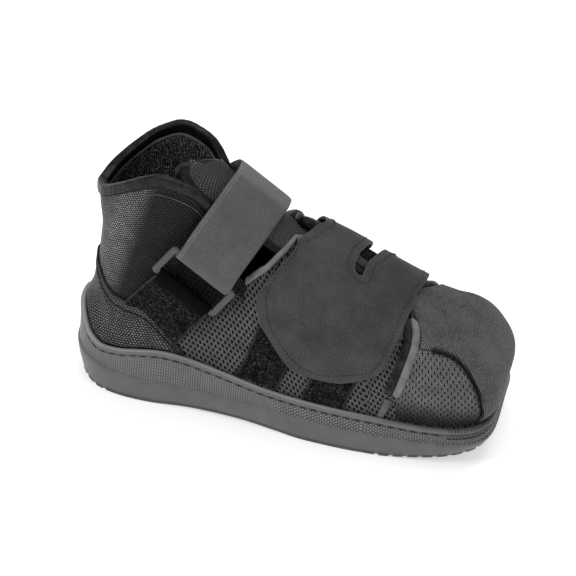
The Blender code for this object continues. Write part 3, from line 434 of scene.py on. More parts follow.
def upper_point(place, rise):
    """A point of the upper's outer face at -Y. rise runs from the lip (0) to the upper's edge (1)."""
    base_x, base_w = outline(place, LIP_WALL + GAP)
    lip, _ = lip_and_band(place)
    base_z = lip - LIP_BEAD
    x, w, z, square, waist = upper_edge(place)
    turn = rise * math.pi / 2
    up = np.sin(turn) ** (2 / square)
    over = 1 - np.clip(np.cos(turn), 0, 1) ** (2 / square)
    middle = np.where(waist > 0, WAIST_PLACE, BULGE_PLACE)
    waist = waist * np.exp(-(((up - middle) / 0.26) ** 2)) * ease(up, 0.09, 0.25) * ease(1 - up, 0, 0.3)
    tuck = (1 - ease(place, 0.05, 0.20)) * ease(up, 0.04, 0.20) * (1 - ease(up, 0.26, 0.62))
    pinch = waist + HEEL_TUCK * tuck
    out_x, out_w = outward(place)
    px = base_x + (x - base_x) * over - pinch * out_x
    pw = base_w + (w - base_w) * over - pinch * out_w
    return np.array([px, -pw, base_z + (z - base_z) * up])


def upper_normal(place, rise):
    step = 0.002
    along = upper_point(np.clip(place + step, 0, 1), rise) - upper_point(np.clip(place - step, 0, 1), rise)
    above = upper_point(place, np.clip(rise + step, 0.003, 0.999))
    n = np.cross(along.T, (above - upper_point(place, np.clip(rise - step, 0.001, 1))).T)
    return (n / np.maximum(np.linalg.norm(n, axis=-1, keepdims=True), 1e-12)).T


def on_upper(place, rise, height=0.0):
    """Points at a height over the upper's outer face on the -Y side, as an array ending in x, y, z."""
    place, rise, height = np.broadcast_arrays(place, rise, height)
    point = upper_point(place.ravel(), rise.ravel())
    normal = upper_normal(place.ravel(), np.clip(rise.ravel(), 0.02, 0.985))
    normal[1] = np.where(np.abs(point[1]) < 1e-6, 0, normal[1])
    normal /= np.maximum(np.linalg.norm(normal, axis=0), 1e-9)
    return (point + normal * height.ravel()).T.reshape(place.shape + (3,))


def rise_over_lip(place, height):
    lip, _ = lip_and_band(place)
    _, _, z, square, _ = upper_edge(place)
    base = lip - LIP_BEAD
    share = np.clip((lip + height - base) / (z - base), 0, 1)
    return np.arcsin(share ** (square / 2)) / (math.pi / 2)


def cap_low(place):
    return np.maximum(smooth(TOE_CAP_EDGE, place)[0], rise_over_lip(place, 0.3 * MM))


# The ring's middle, its long axis, and the direction up the slope
RING_ALONG = np.array([math.cos(math.radians(RING_SLOPE)), 0, -math.sin(math.radians(RING_SLOPE))])
RING_UP = np.array([-RING_ALONG[2], 0, RING_ALONG[0]])
RING_MIDDLE = upper_point(RING_PLACE, RING_RISE) - (0, RING_STAND_OFF, 0)
OUTSIDE = np.array([0.0, -1.0, 0.0])


def over_ring(points):
    """How far points stand up the slope from the ring's long axis."""
    return (points - RING_MIDDLE) @ RING_UP


# Meshes


def add(name, data):
    obj = bpy.data.objects.new(name, data)
    bpy.context.scene.collection.objects.link(obj)
    return obj


def grid_object(name, points, coords, finish, body_slot, thickness=0.0, edge=0.0, keep=None):
    """A surface from rows x columns of points, with its own lengths along it as texture coordinates.

    thickness goes inwards, edge rounds the rim, and keep names the faces that aren't left out.
    """
    rows, columns = points.shape[:2]
    faces = []
    for i in range(rows - 1):
        for a in range(i * columns, (i + 1) * columns - 1):
            if keep is None or keep[i, a % columns]:
                faces.append((a, a + 1, a + columns + 1, a + columns))
    mesh = bpy.data.meshes.new(name)
    mesh.from_pydata(points.reshape(-1, 3).tolist(), [], faces)
    layer = mesh.uv_layers.new(name="UVMap")
    loops = np.empty(len(mesh.loops), np.int32)
    mesh.loops.foreach_get("vertex_index", loops)
    layer.data.foreach_set("uv", coords.reshape(-1, 2)[loops].astype(np.float32).ravel())
    work = bmesh.new()
    work.from_mesh(mesh)
    bmesh.ops.remove_doubles(work, verts=work.verts, dist=2e-6)
    work.to_mesh(mesh)
    work.free()
    mesh.shade_smooth()
    obj = add(name, mesh)
    mesh.materials.append(finish)
    if thickness:
        solid = obj.modifiers.new("thickness", "SOLIDIFY")
        solid.thickness = thickness
        solid.offset = -1
        solid.use_even_offset = False
    if edge:
        bevel = obj.modifiers.new("edge", "BEVEL")
        bevel.width = edge
        bevel.segments = 2
        bevel.limit_method = "ANGLE"
        bevel.angle_limit = math.radians(50)
        bevel.harden_normals = False
    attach(obj, "root")
    return obj


def run_of(path):
    """The run along a polyline, or the mean run from row to row of a grid."""
    steps = np.linalg.norm(np.diff(path, axis=0), axis=-1)
    if steps.ndim > 1:
        steps = steps.mean(axis=1)
    return np.concatenate([[0], np.cumsum(steps)])


def spread(u, v):
    """Texture coordinates of a grid from a row and a column of them."""
    return np.stack(np.broadcast_arrays(u[None, :], v[:, None]), axis=-1)


def lengths(points):
    return spread(run_of(points.transpose(1, 0, 2)), run_of(points))


def wall_coords(place, points):
    """Texture coordinates on a wall: the run round the outline, and the height."""
    u = np.broadcast_to(place * HALF_PERIMETER, points.shape[:2])
    return np.stack([u, points[..., 2]], axis=-1)


def carried(path):
    """Rows from the near side up to the middle plane, carried on down the far side."""
    return np.concatenate([path, path[-2::-1] * FAR])


def both_sides(points, coords):
    """A near-side grid whose columns end at the middle plane, carried on round the far side."""
    far = coords[:, -2::-1].copy()
    far[..., 0] = 2 * coords[:, -1:, 0] - far[..., 0]
    return np.concatenate([points, points[:, -2::-1] * FAR], axis=1), np.concatenate([coords, far], axis=1)


def mirrored(name, points, coords, finish, slot):
    """A near-side piece and its mirror image, as one object."""
    rows, columns = points.shape[:2]
    both = np.concatenate([points, points[:, ::-1] * FAR], axis=1)
    keep = np.ones((rows - 1, 2 * columns - 1), bool)
    keep[:, columns - 1] = False
    return grid_object(name, both, np.concatenate([coords, coords[:, ::-1]], axis=1), finish, slot, keep=keep)


def between(at, known, rows):
    """Rows worked out at other places along them."""
    return np.stack([np.interp(at, known, column) for column in np.transpose(rows)], axis=1)


def resample(path, step):
    """Points at an even step along a polyline."""
    run = run_of(path)
    return between(np.linspace(0, run[-1], max(2, int(round(run[-1] / step)) + 1)), run, path)


def round_path(path):
    """Cuts the corners of a polyline three times, and keeps its ends."""
    path = np.array(path, float)
    for _ in range(3):
        a = 0.75 * path[:-1] + 0.25 * path[1:]
        b = 0.25 * path[:-1] + 0.75 * path[1:]
        cut = np.stack([a, b], axis=1).reshape(-1, path.shape[1])
        path = np.concatenate([path[:1], cut[1:-1], path[-1:]])
    return path


def frames_along(path, hint):
    """Side and up vectors along a path, with up nearest to the hint."""
    tangent = np.gradient(path, axis=0)
    tangent /= np.maximum(np.linalg.norm(tangent, axis=1, keepdims=True), 1e-12)
    up = hint - tangent * (hint * tangent).sum(axis=1, keepdims=True)
    up /= np.maximum(np.linalg.norm(up, axis=1, keepdims=True), 1e-12)
    return np.cross(tangent, up), up


def tube(name, path, hint, width, height, finish, slot, sides=12, mirror=False):
    """A tube with an oval section along a path. hint points away from what carries it."""
    side, up = frames_along(path, np.broadcast_to(hint, path.shape))
    turn = np.linspace(0, 2 * math.pi, sides + 1)
    count = np.arange(len(path))
    size = np.minimum(1, np.minimum(count, count[::-1]) * 0.6 + 0.05)
    ring = (
        path[:, None]
        + side[:, None] * np.outer(size, np.cos(turn) * width / 2)[..., None]
        + up[:, None] * np.outer(size, np.sin(turn) * height / 2)[..., None]
    )
    return (mirrored if mirror else grid_object)(name, ring, lengths(ring), finish, slot)


def stitches(name, paths, hints, finish, length, gap, radius, slant=0.0):
    """Rows of stitches: a small spindle for each, sunk by half into the cloth. paths and hints are lists."""
    points = []
    faces = []
    sides, stops, step = 6, 5, 0.25 * MM
    turns = np.arange(sides)[:, None] * 2 * math.pi / sides
    for path, hint in zip(paths, hints):
        dense = resample(path, step)
        normal = between(np.linspace(0, 1, len(dense)), np.linspace(0, 1, len(hint)), hint)
        side, up = frames_along(dense, normal)
        last = len(dense) - 1
        for start in np.arange(0.5 * gap, last * step - length, length + gap):
            first = len(points)
            for t in np.linspace(0, 1, stops):
                k = min(int((start + t * length) / step), last)
                size = radius * math.sin(math.pi * (0.12 + 0.76 * t)) ** 0.5
                middle = dense[k] + side[k] * slant * (t - 0.5) + up[k] * radius * 0.3
                points.extend(middle + side[k] * np.cos(turns) * size + up[k] * np.sin(turns) * size)
            for a in range(first, first + (stops - 1) * sides, sides):
                for m in range(sides):
                    after = (m + 1) % sides
                    faces.append((a + m, a + after, a + sides + after, a + sides + m))
            faces.append(tuple(first + m for m in reversed(range(sides))))
            faces.append(tuple(first + (stops - 1) * sides + m for m in range(sides)))
    mesh = bpy.data.meshes.new(name)
    mesh.from_pydata(np.array(points).tolist(), [], faces)
    mesh.shade_smooth()
    obj = add(name, mesh)
    mesh.materials.append(finish)
    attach(obj, "root")


def pair(path):
    return [path, path * FAR]


def surface_line(place, rise, height):
    """A path on the upper and its normals."""
    path = on_upper(place, rise, height)
    return path, on_upper(place, rise, height + 1 * MM) - path


def vertices(obj):
    return np.array([v.co for v in obj.data.vertices])


def centres(obj):
    return np.array([p.center for p in obj.data.polygons])


def face_coords(obj):
    """The texture coordinates of each face's first corner."""
    coords = np.zeros(len(obj.data.loops) * 2, np.float32)
    obj.data.uv_layers[0].data.foreach_get("uv", coords)
    return coords.reshape(-1, 2)[[p.loop_start for p in obj.data.polygons]]


def refinish(obj, index, *finishes):
    """Adds finishes, and gives each face the one of its index, where 0 is the first that it had."""
    for finish in finishes:
        obj.data.materials.append(finish)
    obj.data.polygons.foreach_set("material_index", index.astype(np.int32))


def float_attribute(obj, name, values):
    obj.data.attributes.new(name, "FLOAT", "POINT").data.foreach_set("value", np.asarray(values, np.float32))


def soften(obj, centre, reach):
    """Relaxes the surface in front of and round a point, with a smooth fall-off."""
    group = obj.vertex_groups.new(name="soft")
    for vertex in obj.data.vertices:
        away = (vertex.co - Vector(centre)).length / reach
        if away < 1:
            group.add([vertex.index], float((1 - away**2) ** 2 * ease(vertex.co.x, 0.073, 0.080)), "REPLACE")
    relax = obj.modifiers.new("relax", "SMOOTH")
    relax.factor = 0.5
    relax.iterations = 30
    relax.vertex_group = "soft"


# Materials


def make_node(tree, kind, inputs, **settings):
    """A node with its settings, and with its inputs set or linked."""
    node = tree.nodes.new(kind)
    for key, value in settings.items():
        setattr(node, key, value)
    for key, value in inputs.items():
        if isinstance(value, Value):
            tree.links.new(value.socket, node.inputs[key])
        else:
            node.inputs[key].default_value = value
    return Value(tree, node.outputs[0])


def math_node(tree, kind, *values):
    return make_node(tree, "ShaderNodeMath", dict(enumerate(values)), operation=kind)


def sum_of(kind, swapped=False):
    def work(self, other):
        return math_node(self.tree, kind, *((other, self) if swapped else (self, other)))

    return work


class Value:
    """A number that a material works out, which takes part in sums."""

    def __init__(self, tree, socket):
        self.tree = tree
        self.socket = socket

    __add__ = __radd__ = sum_of("ADD")
    __sub__ = sum_of("SUBTRACT")
    __rsub__ = sum_of("SUBTRACT", swapped=True)
    __mul__ = __rmul__ = sum_of("MULTIPLY")
    __truediv__ = sum_of("DIVIDE")
    __pow__ = sum_of("POWER")

    def apply(self, kind, *others):
        return math_node(self.tree, kind, self, *others)

    def clamped(self):
        self.socket.node.use_clamp = True
        return self

    def ramp(self, low, high):
        """0 below low, 1 above high, smooth between."""
        inputs = {"Value": self, "From Min": low, "From Max": high}
        return make_node(self.tree, "ShaderNodeMapRange", inputs, interpolation_type="SMOOTHSTEP")

    def ridges(self, pitch):
        """Round ridges, from 0 in each valley to 1 on each ridge."""
        return (self * (math.pi / pitch)).apply("SINE").apply("ABSOLUTE")


class Graph:
    """A material and its patterns, whose lengths are in millimetres."""

    def __init__(self, name, roughness, gloss, sheen=0.0, coat=0.0):
        self.material = bpy.data.materials.new(name)
        self.material.use_nodes = True
        self.tree = self.material.node_tree
        self.shader = self.tree.nodes["Principled BSDF"]
        settings = {
            "Roughness": roughness, "Specular IOR Level": gloss, "Sheen Weight": sheen,
            "Sheen Roughness": 0.45, "Coat Weight": coat, "Coat Roughness": 0.35,
        }
        for key, value in settings.items():
            self.shader.inputs[key].default_value = value
        parts = self.tree.nodes.new("ShaderNodeSeparateXYZ")
        self.tree.links.new(self.tree.nodes.new("ShaderNodeUVMap").outputs[0], parts.inputs[0])
        self.u = Value(self.tree, parts.outputs[0]) * 1000
        self.v = Value(self.tree, parts.outputs[1]) * 1000
        where = self.tree.nodes.new("ShaderNodeTexCoord")
        inputs = {0: Value(self.tree, where.outputs["Object"]), "Scale": 1000}
        self.space = make_node(self.tree, "ShaderNodeVectorMath", inputs, operation="SCALE")

    def attribute(self, name):
        """A number kept on the mesh, which is 0 where a mesh has none of that name."""
        node = self.tree.nodes.new("ShaderNodeAttribute")
        node.attribute_name = name
        return Value(self.tree, node.outputs["Fac"])

    def noise(self, size, detail=2.0, rough=0.5):
        """Noise whose grains are about size millimetres."""
        inputs = {"Vector": self.space, "Scale": 1 / size, "Detail": detail, "Roughness": rough}
        return make_node(self.tree, "ShaderNodeTexNoise", inputs)

    def turned(self, degrees):
        """Texture coordinates turned by an angle."""
        c, s = math.cos(math.radians(degrees)), math.sin(math.radians(degrees))
        return self.u * c + self.v * s, self.v * c - self.u * s

    def cell(self, u, v, pitch_u, pitch_v):
        """Places from -0.5 to 0.5 in each cell of a grid whose columns are shifted by half a cell in turn."""
        column = u / pitch_u
        odd = column.apply("FLOOR").apply("MODULO", 2).apply("ABSOLUTE")
        return column.apply("FRACT") - 0.5, (v / pitch_v + odd * 0.5).apply("FRACT") - 0.5

    def oval(self, place, half_u, half_v, soft):
        """1 in an oval round a cell's middle, 0 outside it."""
        return 1 - ((place[0] / half_u) ** 2 + (place[1] / half_v) ** 2).ramp(1 - soft, 1 + soft)

    def colour(self, dark, light, share):
        """The base colour, from dark to light by a share."""
        node = self.tree.nodes.new("ShaderNodeMix")
        node.data_type = "RGBA"
        self.tree.links.new(share.socket, node.inputs[0])
        node.inputs[6].default_value = (*dark, 1)
        node.inputs[7].default_value = (*light, 1)
        self.tree.links.new(node.outputs[2], self.shader.inputs["Base Color"])

    def bump(self, height, distance, strength=1.0):
        """Relief, from a height of 0 to 1 and its distance in millimetres."""
        inputs = {"Distance": distance * MM, "Strength": strength, "Height": height}
        before = self.shader.inputs["Normal"]
        if before.is_linked:
            inputs["Normal"] = Value(self.tree, before.links[0].from_socket)
        node = make_node(self.tree, "ShaderNodeBump", inputs)
        self.tree.links.new(node.socket, before)

    def roughen(self, low, high, share):
        node = make_node(self.tree, "ShaderNodeMapRange", {"Value": share, "To Min": low, "To Max": high})
        self.tree.links.new(node.socket, self.shader.inputs["Roughness"])


def grey(value, warm=0.0):
    return (value * (1 + warm), value, value * (1 - warm))


def air_mesh(name, turn, pitch_u, half_u, half_v, light):
    """Knitted mesh with oval holes between its threads, darkened by the painted shade kept in the shade
    attribute.
    """
    g = Graph(name, 0.5, gloss=0.07)
    pitch_v = 4.6
    u, v = g.turned(turn)
    solid = 1 - g.oval(g.cell(u, v, pitch_u, pitch_v), half_u, half_v, 0.35)
    weave = ((u + v * 0.35).ridges(pitch_u / 2) + v.ridges(pitch_v / 4)) * 0.5
    grain = g.noise(0.75, 2, rough=0.6)
    shade = (0.12 + weave**1.6 * 0.55) * (0.45 + g.noise(9) * 0.8)
    shade = (shade + grain.ramp(0.50, 0.72) * 0.38) * solid * (1 - g.attribute("shade"))
    g.colour(grey(0.002), grey(light), shade)
    g.bump(solid * (0.5 + weave * 0.5), 0.7)
    g.bump(grain, 0.18, 0.8)
    return g.material


def ribbed_knit(name, turn, pitch, light):
    """Spacer knit in slanting rows of short threads, with near black between them, darkened by the painted
    shade kept in the shade attribute.
    """
    g = Graph(name, 0.45, gloss=0.08)
    u, v = g.turned(turn)
    dash = g.oval(g.cell(u, v + g.noise(3.5) * 1.6, 2.2, pitch), 0.38, 0.26, 0.8)
    grain = g.noise(0.6, 2, rough=0.65)
    shade = dash * (0.15 + g.noise(10) * 0.9) + grain.ramp(0.52, 0.74) * 0.50
    g.colour(grey(0.003), grey(light), (shade * (1 - g.attribute("shade"))).clamped())
    g.bump(dash, 0.6, 0.8)
    g.bump(grain, 0.2, 0.9)
    return g.material


def twill_knit():
    """Fine diagonal knit of the toe cap, darkened by the painted shade kept in the shade attribute."""
    g = Graph("toe_knit_finish", 0.55, gloss=0.06)
    u, v = g.turned(-38)
    weave = v.ridges(1.45) * 0.82 + (u + v * 0.3).ridges(1.1) * 0.18
    grain = g.noise(0.6, 2, rough=0.7)
    shade = weave.ramp(0.25, 1.0) * (0.20 + g.noise(16) * 0.55) + grain.ramp(0.52, 0.66) * 0.60
    g.colour(grey(0.007), grey(0.25), shade.clamped() * (1 - g.attribute("shade")))
    g.bump(weave, 0.40)
    g.bump(grain, 0.2, 0.9)
    return g.material


def velvet():
    """Loop pile: near black, with scattered lighter loops, darkened further by the painted shade kept in the
    shade attribute.
    """
    g = Graph("loop_velvet_finish", 0.9, gloss=0.02)
    loops = g.noise(0.85, 3, rough=0.75)
    shade = loops.ramp(0.47, 0.70) * g.noise(2.6).ramp(0.25, 0.65) * (1 - g.attribute("shade"))
    g.colour(grey(0.0035), grey(0.10), shade)
    g.bump(loops, 0.8)
    return g.material


def suede():
    """The flap's brushed cloth."""
    g = Graph("flap_suede_finish", 0.6, gloss=0.08, sheen=0.02)
    fine = g.noise(0.45, 3, rough=0.7)
    patch = g.noise(24, 3)
    g.colour(grey(0.024, 0.015), grey(0.086, 0.02), (fine * 0.75 + patch * 0.25).ramp(0.36, 0.66))
    g.bump(fine, 0.12, 0.8)
    g.roughen(0.52, 0.68, patch)
    return g.material


def tape(name, dark, light, gloss, pucker_depth):
    """Smooth binding tape, with a faint weave and puckers."""
    g = Graph(name, 0.34, gloss=gloss)
    pucker = g.noise(7)
    grain = g.noise(0.6)
    g.colour(grey(dark), grey(light), (pucker * 0.7 + grain * 0.3).ramp(0.36, 0.66))
    g.bump(pucker, pucker_depth, 0.7)
    g.bump(g.u.ridges(0.7) * g.v.ridges(0.7), 0.06, 0.5)
    g.bump(grain, 0.08, 0.7)
    g.roughen(0.24, 0.42, pucker)
    return g.material


def webbing():
    """The ankle strap: a speckled loop face, ribs at its top fold with a painted highlight on them there, and
    two thin lines by its edge.
    """
    g = Graph("strap_webbing_finish", 0.5, gloss=0.10, sheen=0.06)
    rib = g.u.ridges(1.65)
    speck = g.noise(0.42, 2, rough=0.75)
    shade = rib * 0.08 + g.v.ridges(0.8) * 0.05 + speck.ramp(0.36, 0.66) * 0.42 + g.noise(16) * 0.22
    # painted highlight: the ribs are brightened near the top of the strap's fold
    shade = shade + g.attribute("fold") * rib * 0.45
    for place in (20.7, 19.0):
        shade = shade + (1 - (g.u * -1 - place).apply("ABSOLUTE").ramp(0.15, 0.55)) * 0.30
    g.colour(grey(0.024), grey(0.205), shade)
    g.bump(rib, 0.2, 0.7)
    g.bump(speck, 0.22, 0.9)
    return g.material


def lining():
    """Padded knit inside the collar."""
    g = Graph("lining_finish", 0.8, gloss=0.04)
    rib = g.u.ridges(2.1)
    loops = g.noise(0.8, 2, rough=0.7)
    g.colour(grey(0.004), grey(0.30), loops.ramp(0.48, 0.70) * (0.35 + rib * 0.65))
    g.bump(rib * 0.5 + loops * 0.5, 0.9)
    return g.material


def tongue_knit():
    g = Graph("tongue_knit_finish", 0.55, gloss=0.08)
    loop = g.oval(g.cell(g.u, g.v, 1.25, 2.1), 0.38, 0.34, 0.7)
    grain = g.noise(0.55, 2, rough=0.65)
    g.colour(grey(0.008), grey(0.17), (loop * 0.6 + grain.ramp(0.42, 0.72) * 0.45).clamped())
    g.bump(loop, 0.5)
    g.bump(grain, 0.2, 0.8)
    return g.material


def tread_rubber():
    g = Graph("outsole_rubber_finish", 0.5, gloss=0.4)
    patch = g.noise(11, 3)
    grain = g.noise(0.45)
    g.colour(grey(0.035), grey(0.075), (patch * 0.6 + grain * 0.4).ramp(0.3, 0.7))
    g.bump(grain, 0.035, 0.8)
    g.bump(patch, 0.25, 0.25)
    g.roughen(0.44, 0.6, patch)
    return g.material


def sole_rubber():
    """The cup's side: smooth lip and foot, and between them a band of small raised dots. The dots, the toe's
    braid and the lip's top carry painted highlights, and the gaps between the dots painted shade.
    """
    g = Graph("midsole_rubber_finish", 0.44, gloss=0.45)
    band = g.attribute("band")
    toe_lip = g.attribute("toe_lip")
    diamond = g.oval(g.cell(g.u, g.v, 1.86, 3.5), 0.40, 0.33, 0.6)
    columns = g.u.ridges(1.75) * (0.35 + g.v.ridges(1.35) * 0.65)
    dots = make_node(g.tree, "ShaderNodeMix", {0: g.u.ramp(150, 190), 2: columns, 3: diamond})
    stripe = g.oval(g.cell(g.u + g.v, g.v, 1.1, 2.0), 0.40, 0.36, 0.8)
    patch = g.noise(12, 3)
    grain = g.noise(0.45)
    relief = dots * band + stripe * toe_lip
    # painted highlights on the raised dots, the toe's braid and the lip's top; painted shade in the gaps
    # between the dots; the foot below the band a little darker
    shade = patch * 0.22 + grain * 0.18 + relief * 0.52 + g.attribute("lip_painted_highlight") * 0.55
    shade = shade - g.attribute("low") * 0.085 + 0.06 - (band + toe_lip) * 0.22
    g.colour(grey(0.030), grey(0.34), shade.clamped())
    g.bump(relief, 0.6)
    g.bump(grain, 0.04, 0.8)
    g.roughen(0.34, 0.50, patch)
    return g.material


def plastic():
    g = Graph("ring_plastic_finish", 0.36, gloss=0.5, coat=0.05)
    patch = g.noise(9)
    g.colour(grey(0.034), grey(0.054), patch)
    g.bump(g.noise(0.4), 0.03, 0.7)
    g.roughen(0.30, 0.42, patch)
    return g.material


def thread(name, value):
    g = Graph(name, 0.5, gloss=0.3)
    grain = g.noise(0.35)
    g.colour(grey(value * 0.6), grey(value), grain)
    g.bump(grain, 0.08, 0.6)
    return g.material


def floor_finish():
    g = Graph("floor_finish", 0.7, gloss=0.05)
    g.shader.inputs["Emission Color"].default_value = (1, 1, 1, 1)
    g.shader.inputs["Emission Strength"].default_value = 0.46
    g.colour(grey(0.95), grey(0.96), g.noise(120))
    return g.material


# The finishes that several pieces share
SHAFT_MESH = ribbed_knit("shaft_mesh_finish", 38, 1.75, 0.42)
SIDE_MESH = air_mesh("side_mesh_finish", 20, 2.6, 0.31, 0.28, 0.22)
TOE_MESH = air_mesh("toe_mesh_finish", 0, 2.3, 0.19, 0.22, 0.30)
COUNTER_MESH = ribbed_knit("counter_mesh_finish", 32, 2.1, 0.25)
TWILL = twill_knit()
VELVET = velvet()
SUEDE = suede()
TAPE = tape("tape_finish", 0.004, 0.020, 0.14, 1.1)
LIGHT_TAPE = tape("light_tape_finish", 0.13, 0.19, 0.15, 0.3)
OVERLOCK = tape("overlock_finish", 0.008, 0.035, 0.1, 0.6)
LIGHT_PIPING = tape("light_piping_finish", 0.055, 0.10, 0.15, 0.5)
WEBBING = webbing()
LINING = lining()
TONGUE_KNIT = tongue_knit()
SOLE_RUBBER = sole_rubber()
TREAD_RUBBER = tread_rubber()
PLASTIC = plastic()
THREAD = thread("thread_finish", 0.20)
# near-black thread for stitches and seams, also painted shade in the tread's notches, the toe groove and the
# flap's needle holes
DARK_THREAD_AND_PAINTED_SHADE = thread("dark_thread_and_painted_shade_finish", 0.004)
EDGE_THREAD = thread("edge_thread_finish", 0.085)
# painted shade: a near-black copy of the tape for the binding's inside, where the channel lies in shade
PAINTED_CHANNEL_SHADE = tape("painted_channel_shade_finish", 0.002, 0.005, 0.05, 1.1)


# Sole


def build_sole():
    """The cup: a wall from the tread's edge up over the lip, and down to the footbed."""
    lip, band = lip_and_band(PLACES)
    foot = ground(outline(PLACES, 4.6 * MM)[0]) + 1.6 * MM
    bead = LIP_BEAD
    top = lip - bead - 0.8 * MM
    rows = [(5.2 * MM, foot + 1.5 * MM), (4.7 * MM, foot)]
    for t in np.linspace(0.1, 1, 10):
        rows.append((4.7 * MM * (1 - t) ** 1.35, foot + (band - 1.4 * MM - foot) * t))
    rows += [(0.12 * MM, band - 0.7 * MM), (0.6 * MM, band - 0.2 * MM), (1.0 * MM, band + 0.1 * MM)]
    for t in np.linspace(0.08, 1, 12):
        rows.append((1.05 * MM + 0.15 * MM * t, band + 0.1 * MM + (top - band - 0.1 * MM) * t))
    rows += [(1.7 * MM, top + 0.45 * MM), (2.2 * MM, top + 0.85 * MM), (1.9 * MM, top + 1.2 * MM)]
    for a in np.radians(np.linspace(-70, 150, 12)):
        rows.append((2.6 * MM - 2.15 * MM * math.cos(a), lip - 0.46 * bead + 0.46 * bead * math.sin(a)))
    rows += [(LIP_WALL, lip - 0.35 * bead), (LIP_WALL, lip - 2.2 * bead)]
    grid = []
    for inset, z in rows:
        x, w = outline(PLACES, inset)
        grid.append(np.stack([x, -w, z], axis=-1))
    grid = np.array(grid)
    points, coords = both_sides(grid, spread(PLACES * HALF_PERIMETER, run_of(grid)))
    obj = grid_object("cup_sole", points, coords, SOLE_RUBBER, "midsole_rubber")
    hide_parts("midsole")
    x, y, z = vertices(obj).T
    plan_x, plan_w = outline(PLACES, 1.2 * MM)
    place = np.interp(np.arctan2(np.abs(y), x), np.arctan2(plan_w, plan_x)[::-1], PLACES[::-1])
    lip, band = lip_and_band(place)
    toe = ease(place, 0.795, 0.802)
    groove = lip - bead - 0.9 * MM - 2.2 * MM * toe
    inside = ease(z, band - 0.5 * MM, band) * (1 - ease(z, groove, groove + 0.4 * MM))
    float_attribute(obj, "band", inside)
    float_attribute(obj, "low", 1 - ease(z, band - 1.2 * MM, band))
    # painted highlight along the top of the lip, towards the heel
    float_attribute(obj, "lip_painted_highlight", ease(z, lip - 1.3 * MM, lip - 0.3 * MM) * (1 - ease(place, 0.55, 0.75)))
    float_attribute(obj, "toe_lip", toe * ease(z, groove + 0.6 * MM, groove + 1.2 * MM))


def sole_line(place, inset, drop):
    """A path round the sole's side, at a drop below the lip's bead, and its outward direction."""
    lip, _ = lip_and_band(place)
    x, w = outline(place, inset)
    out_x, out_w = outward(place)
    path = np.stack([x, -w, lip - LIP_BEAD - drop], axis=1)
    return path, np.stack([out_x, -out_w, np.zeros_like(x)], axis=1)


def build_sole_stitches():
    """Slits in the groove under the lip, and round the toe a near-black tube laid in the plain groove as
    painted shade.
    """
    path, hint = sole_line(np.linspace(0.0, 0.795, 420), 1.5 * MM, 0.5 * MM)
    stitches("sole_stitches", pair(path), pair(hint), DARK_THREAD_AND_PAINTED_SHADE, 4.5 * MM, 3.3 * MM, 0.42 * MM)
    path, hint = sole_line(np.linspace(0.797, 1.0, 140), 1.25 * MM, 2.6 * MM)
    # painted shade: a near-black tube laid in the groove round the toe
    tube("toe_groove", carried(path), carried(hint), 1.0 * MM, 0.8 * MM, DARK_THREAD_AND_PAINTED_SHADE, "midsole_rubber", 8)


def build_tread_rim():
    """The tread's edge, with a small notch at the end of each groove, whose faces take a near-black finish as
    painted shade.
    """
    place = np.linspace(0, 1, 1500)
    run = place * HALF_PERIMETER
    notch = np.zeros_like(run)
    for first, last, pitch in ((18 * MM, 52 * MM, 9.3 * MM), (248 * MM, 372 * MM, 10.7 * MM)):
        for middle in np.arange(first, last, pitch):
            notch = np.maximum(notch, np.clip(1.35 - np.abs(run - middle) / (1.5 * MM), 0, 1))
    foot = ground(outline(place, 4.6 * MM)[0])
    out_x, out_w = outward(place)
    section = (
        (6.8, 0.02, 2.6), (5.2, 0.02, 2.6), (4.6, 0.6, 2.6),
        (4.2, 1.8, 2.4), (4.1, 2.9, 1.6), (4.7, 3.9, 0.0),
    )
    rows = []
    for inset, z, depth in section:
        x, w = (np.interp(place, PLACES, line) for line in outline(PLACES, inset * MM))
        cut = notch * depth * MM
        w = np.maximum(w - out_w * cut, 0)
        rows.append(np.stack([x - out_x * cut, -w, foot + z * MM + notch * 0.3 * MM], axis=-1))
    points = np.array(rows)
    points, coords = both_sides(points, wall_coords(place, points))
    obj = grid_object("tread_rim", points, coords, TREAD_RUBBER, "outsole_rubber")
    at = face_coords(obj)[:, 0]
    # painted shade: the notch faces take the near-black finish
    refinish(obj, np.interp(np.minimum(at, 2 * HALF_PERIMETER - at), run, notch) > 0.6, DARK_THREAD_AND_PAINTED_SHADE)


def build_insole():
    x, w = outline(PLACES[::3], LIP_WALL + UPPER_WALL + 2 * GAP + 1.0 * MM)
    z = cup_floor(x) + GAP + INSOLE_THICKNESS
    rows = [np.stack([x, -w * t, z + 1.2 * MM * t**6], axis=-1) for t in np.linspace(1, 0, 24)]
    whole = carried(np.array(rows))
    obj = grid_object("footbed", whole, whole[..., :2], LINING, "insole_fabric")
    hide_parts("insole")


# Upper


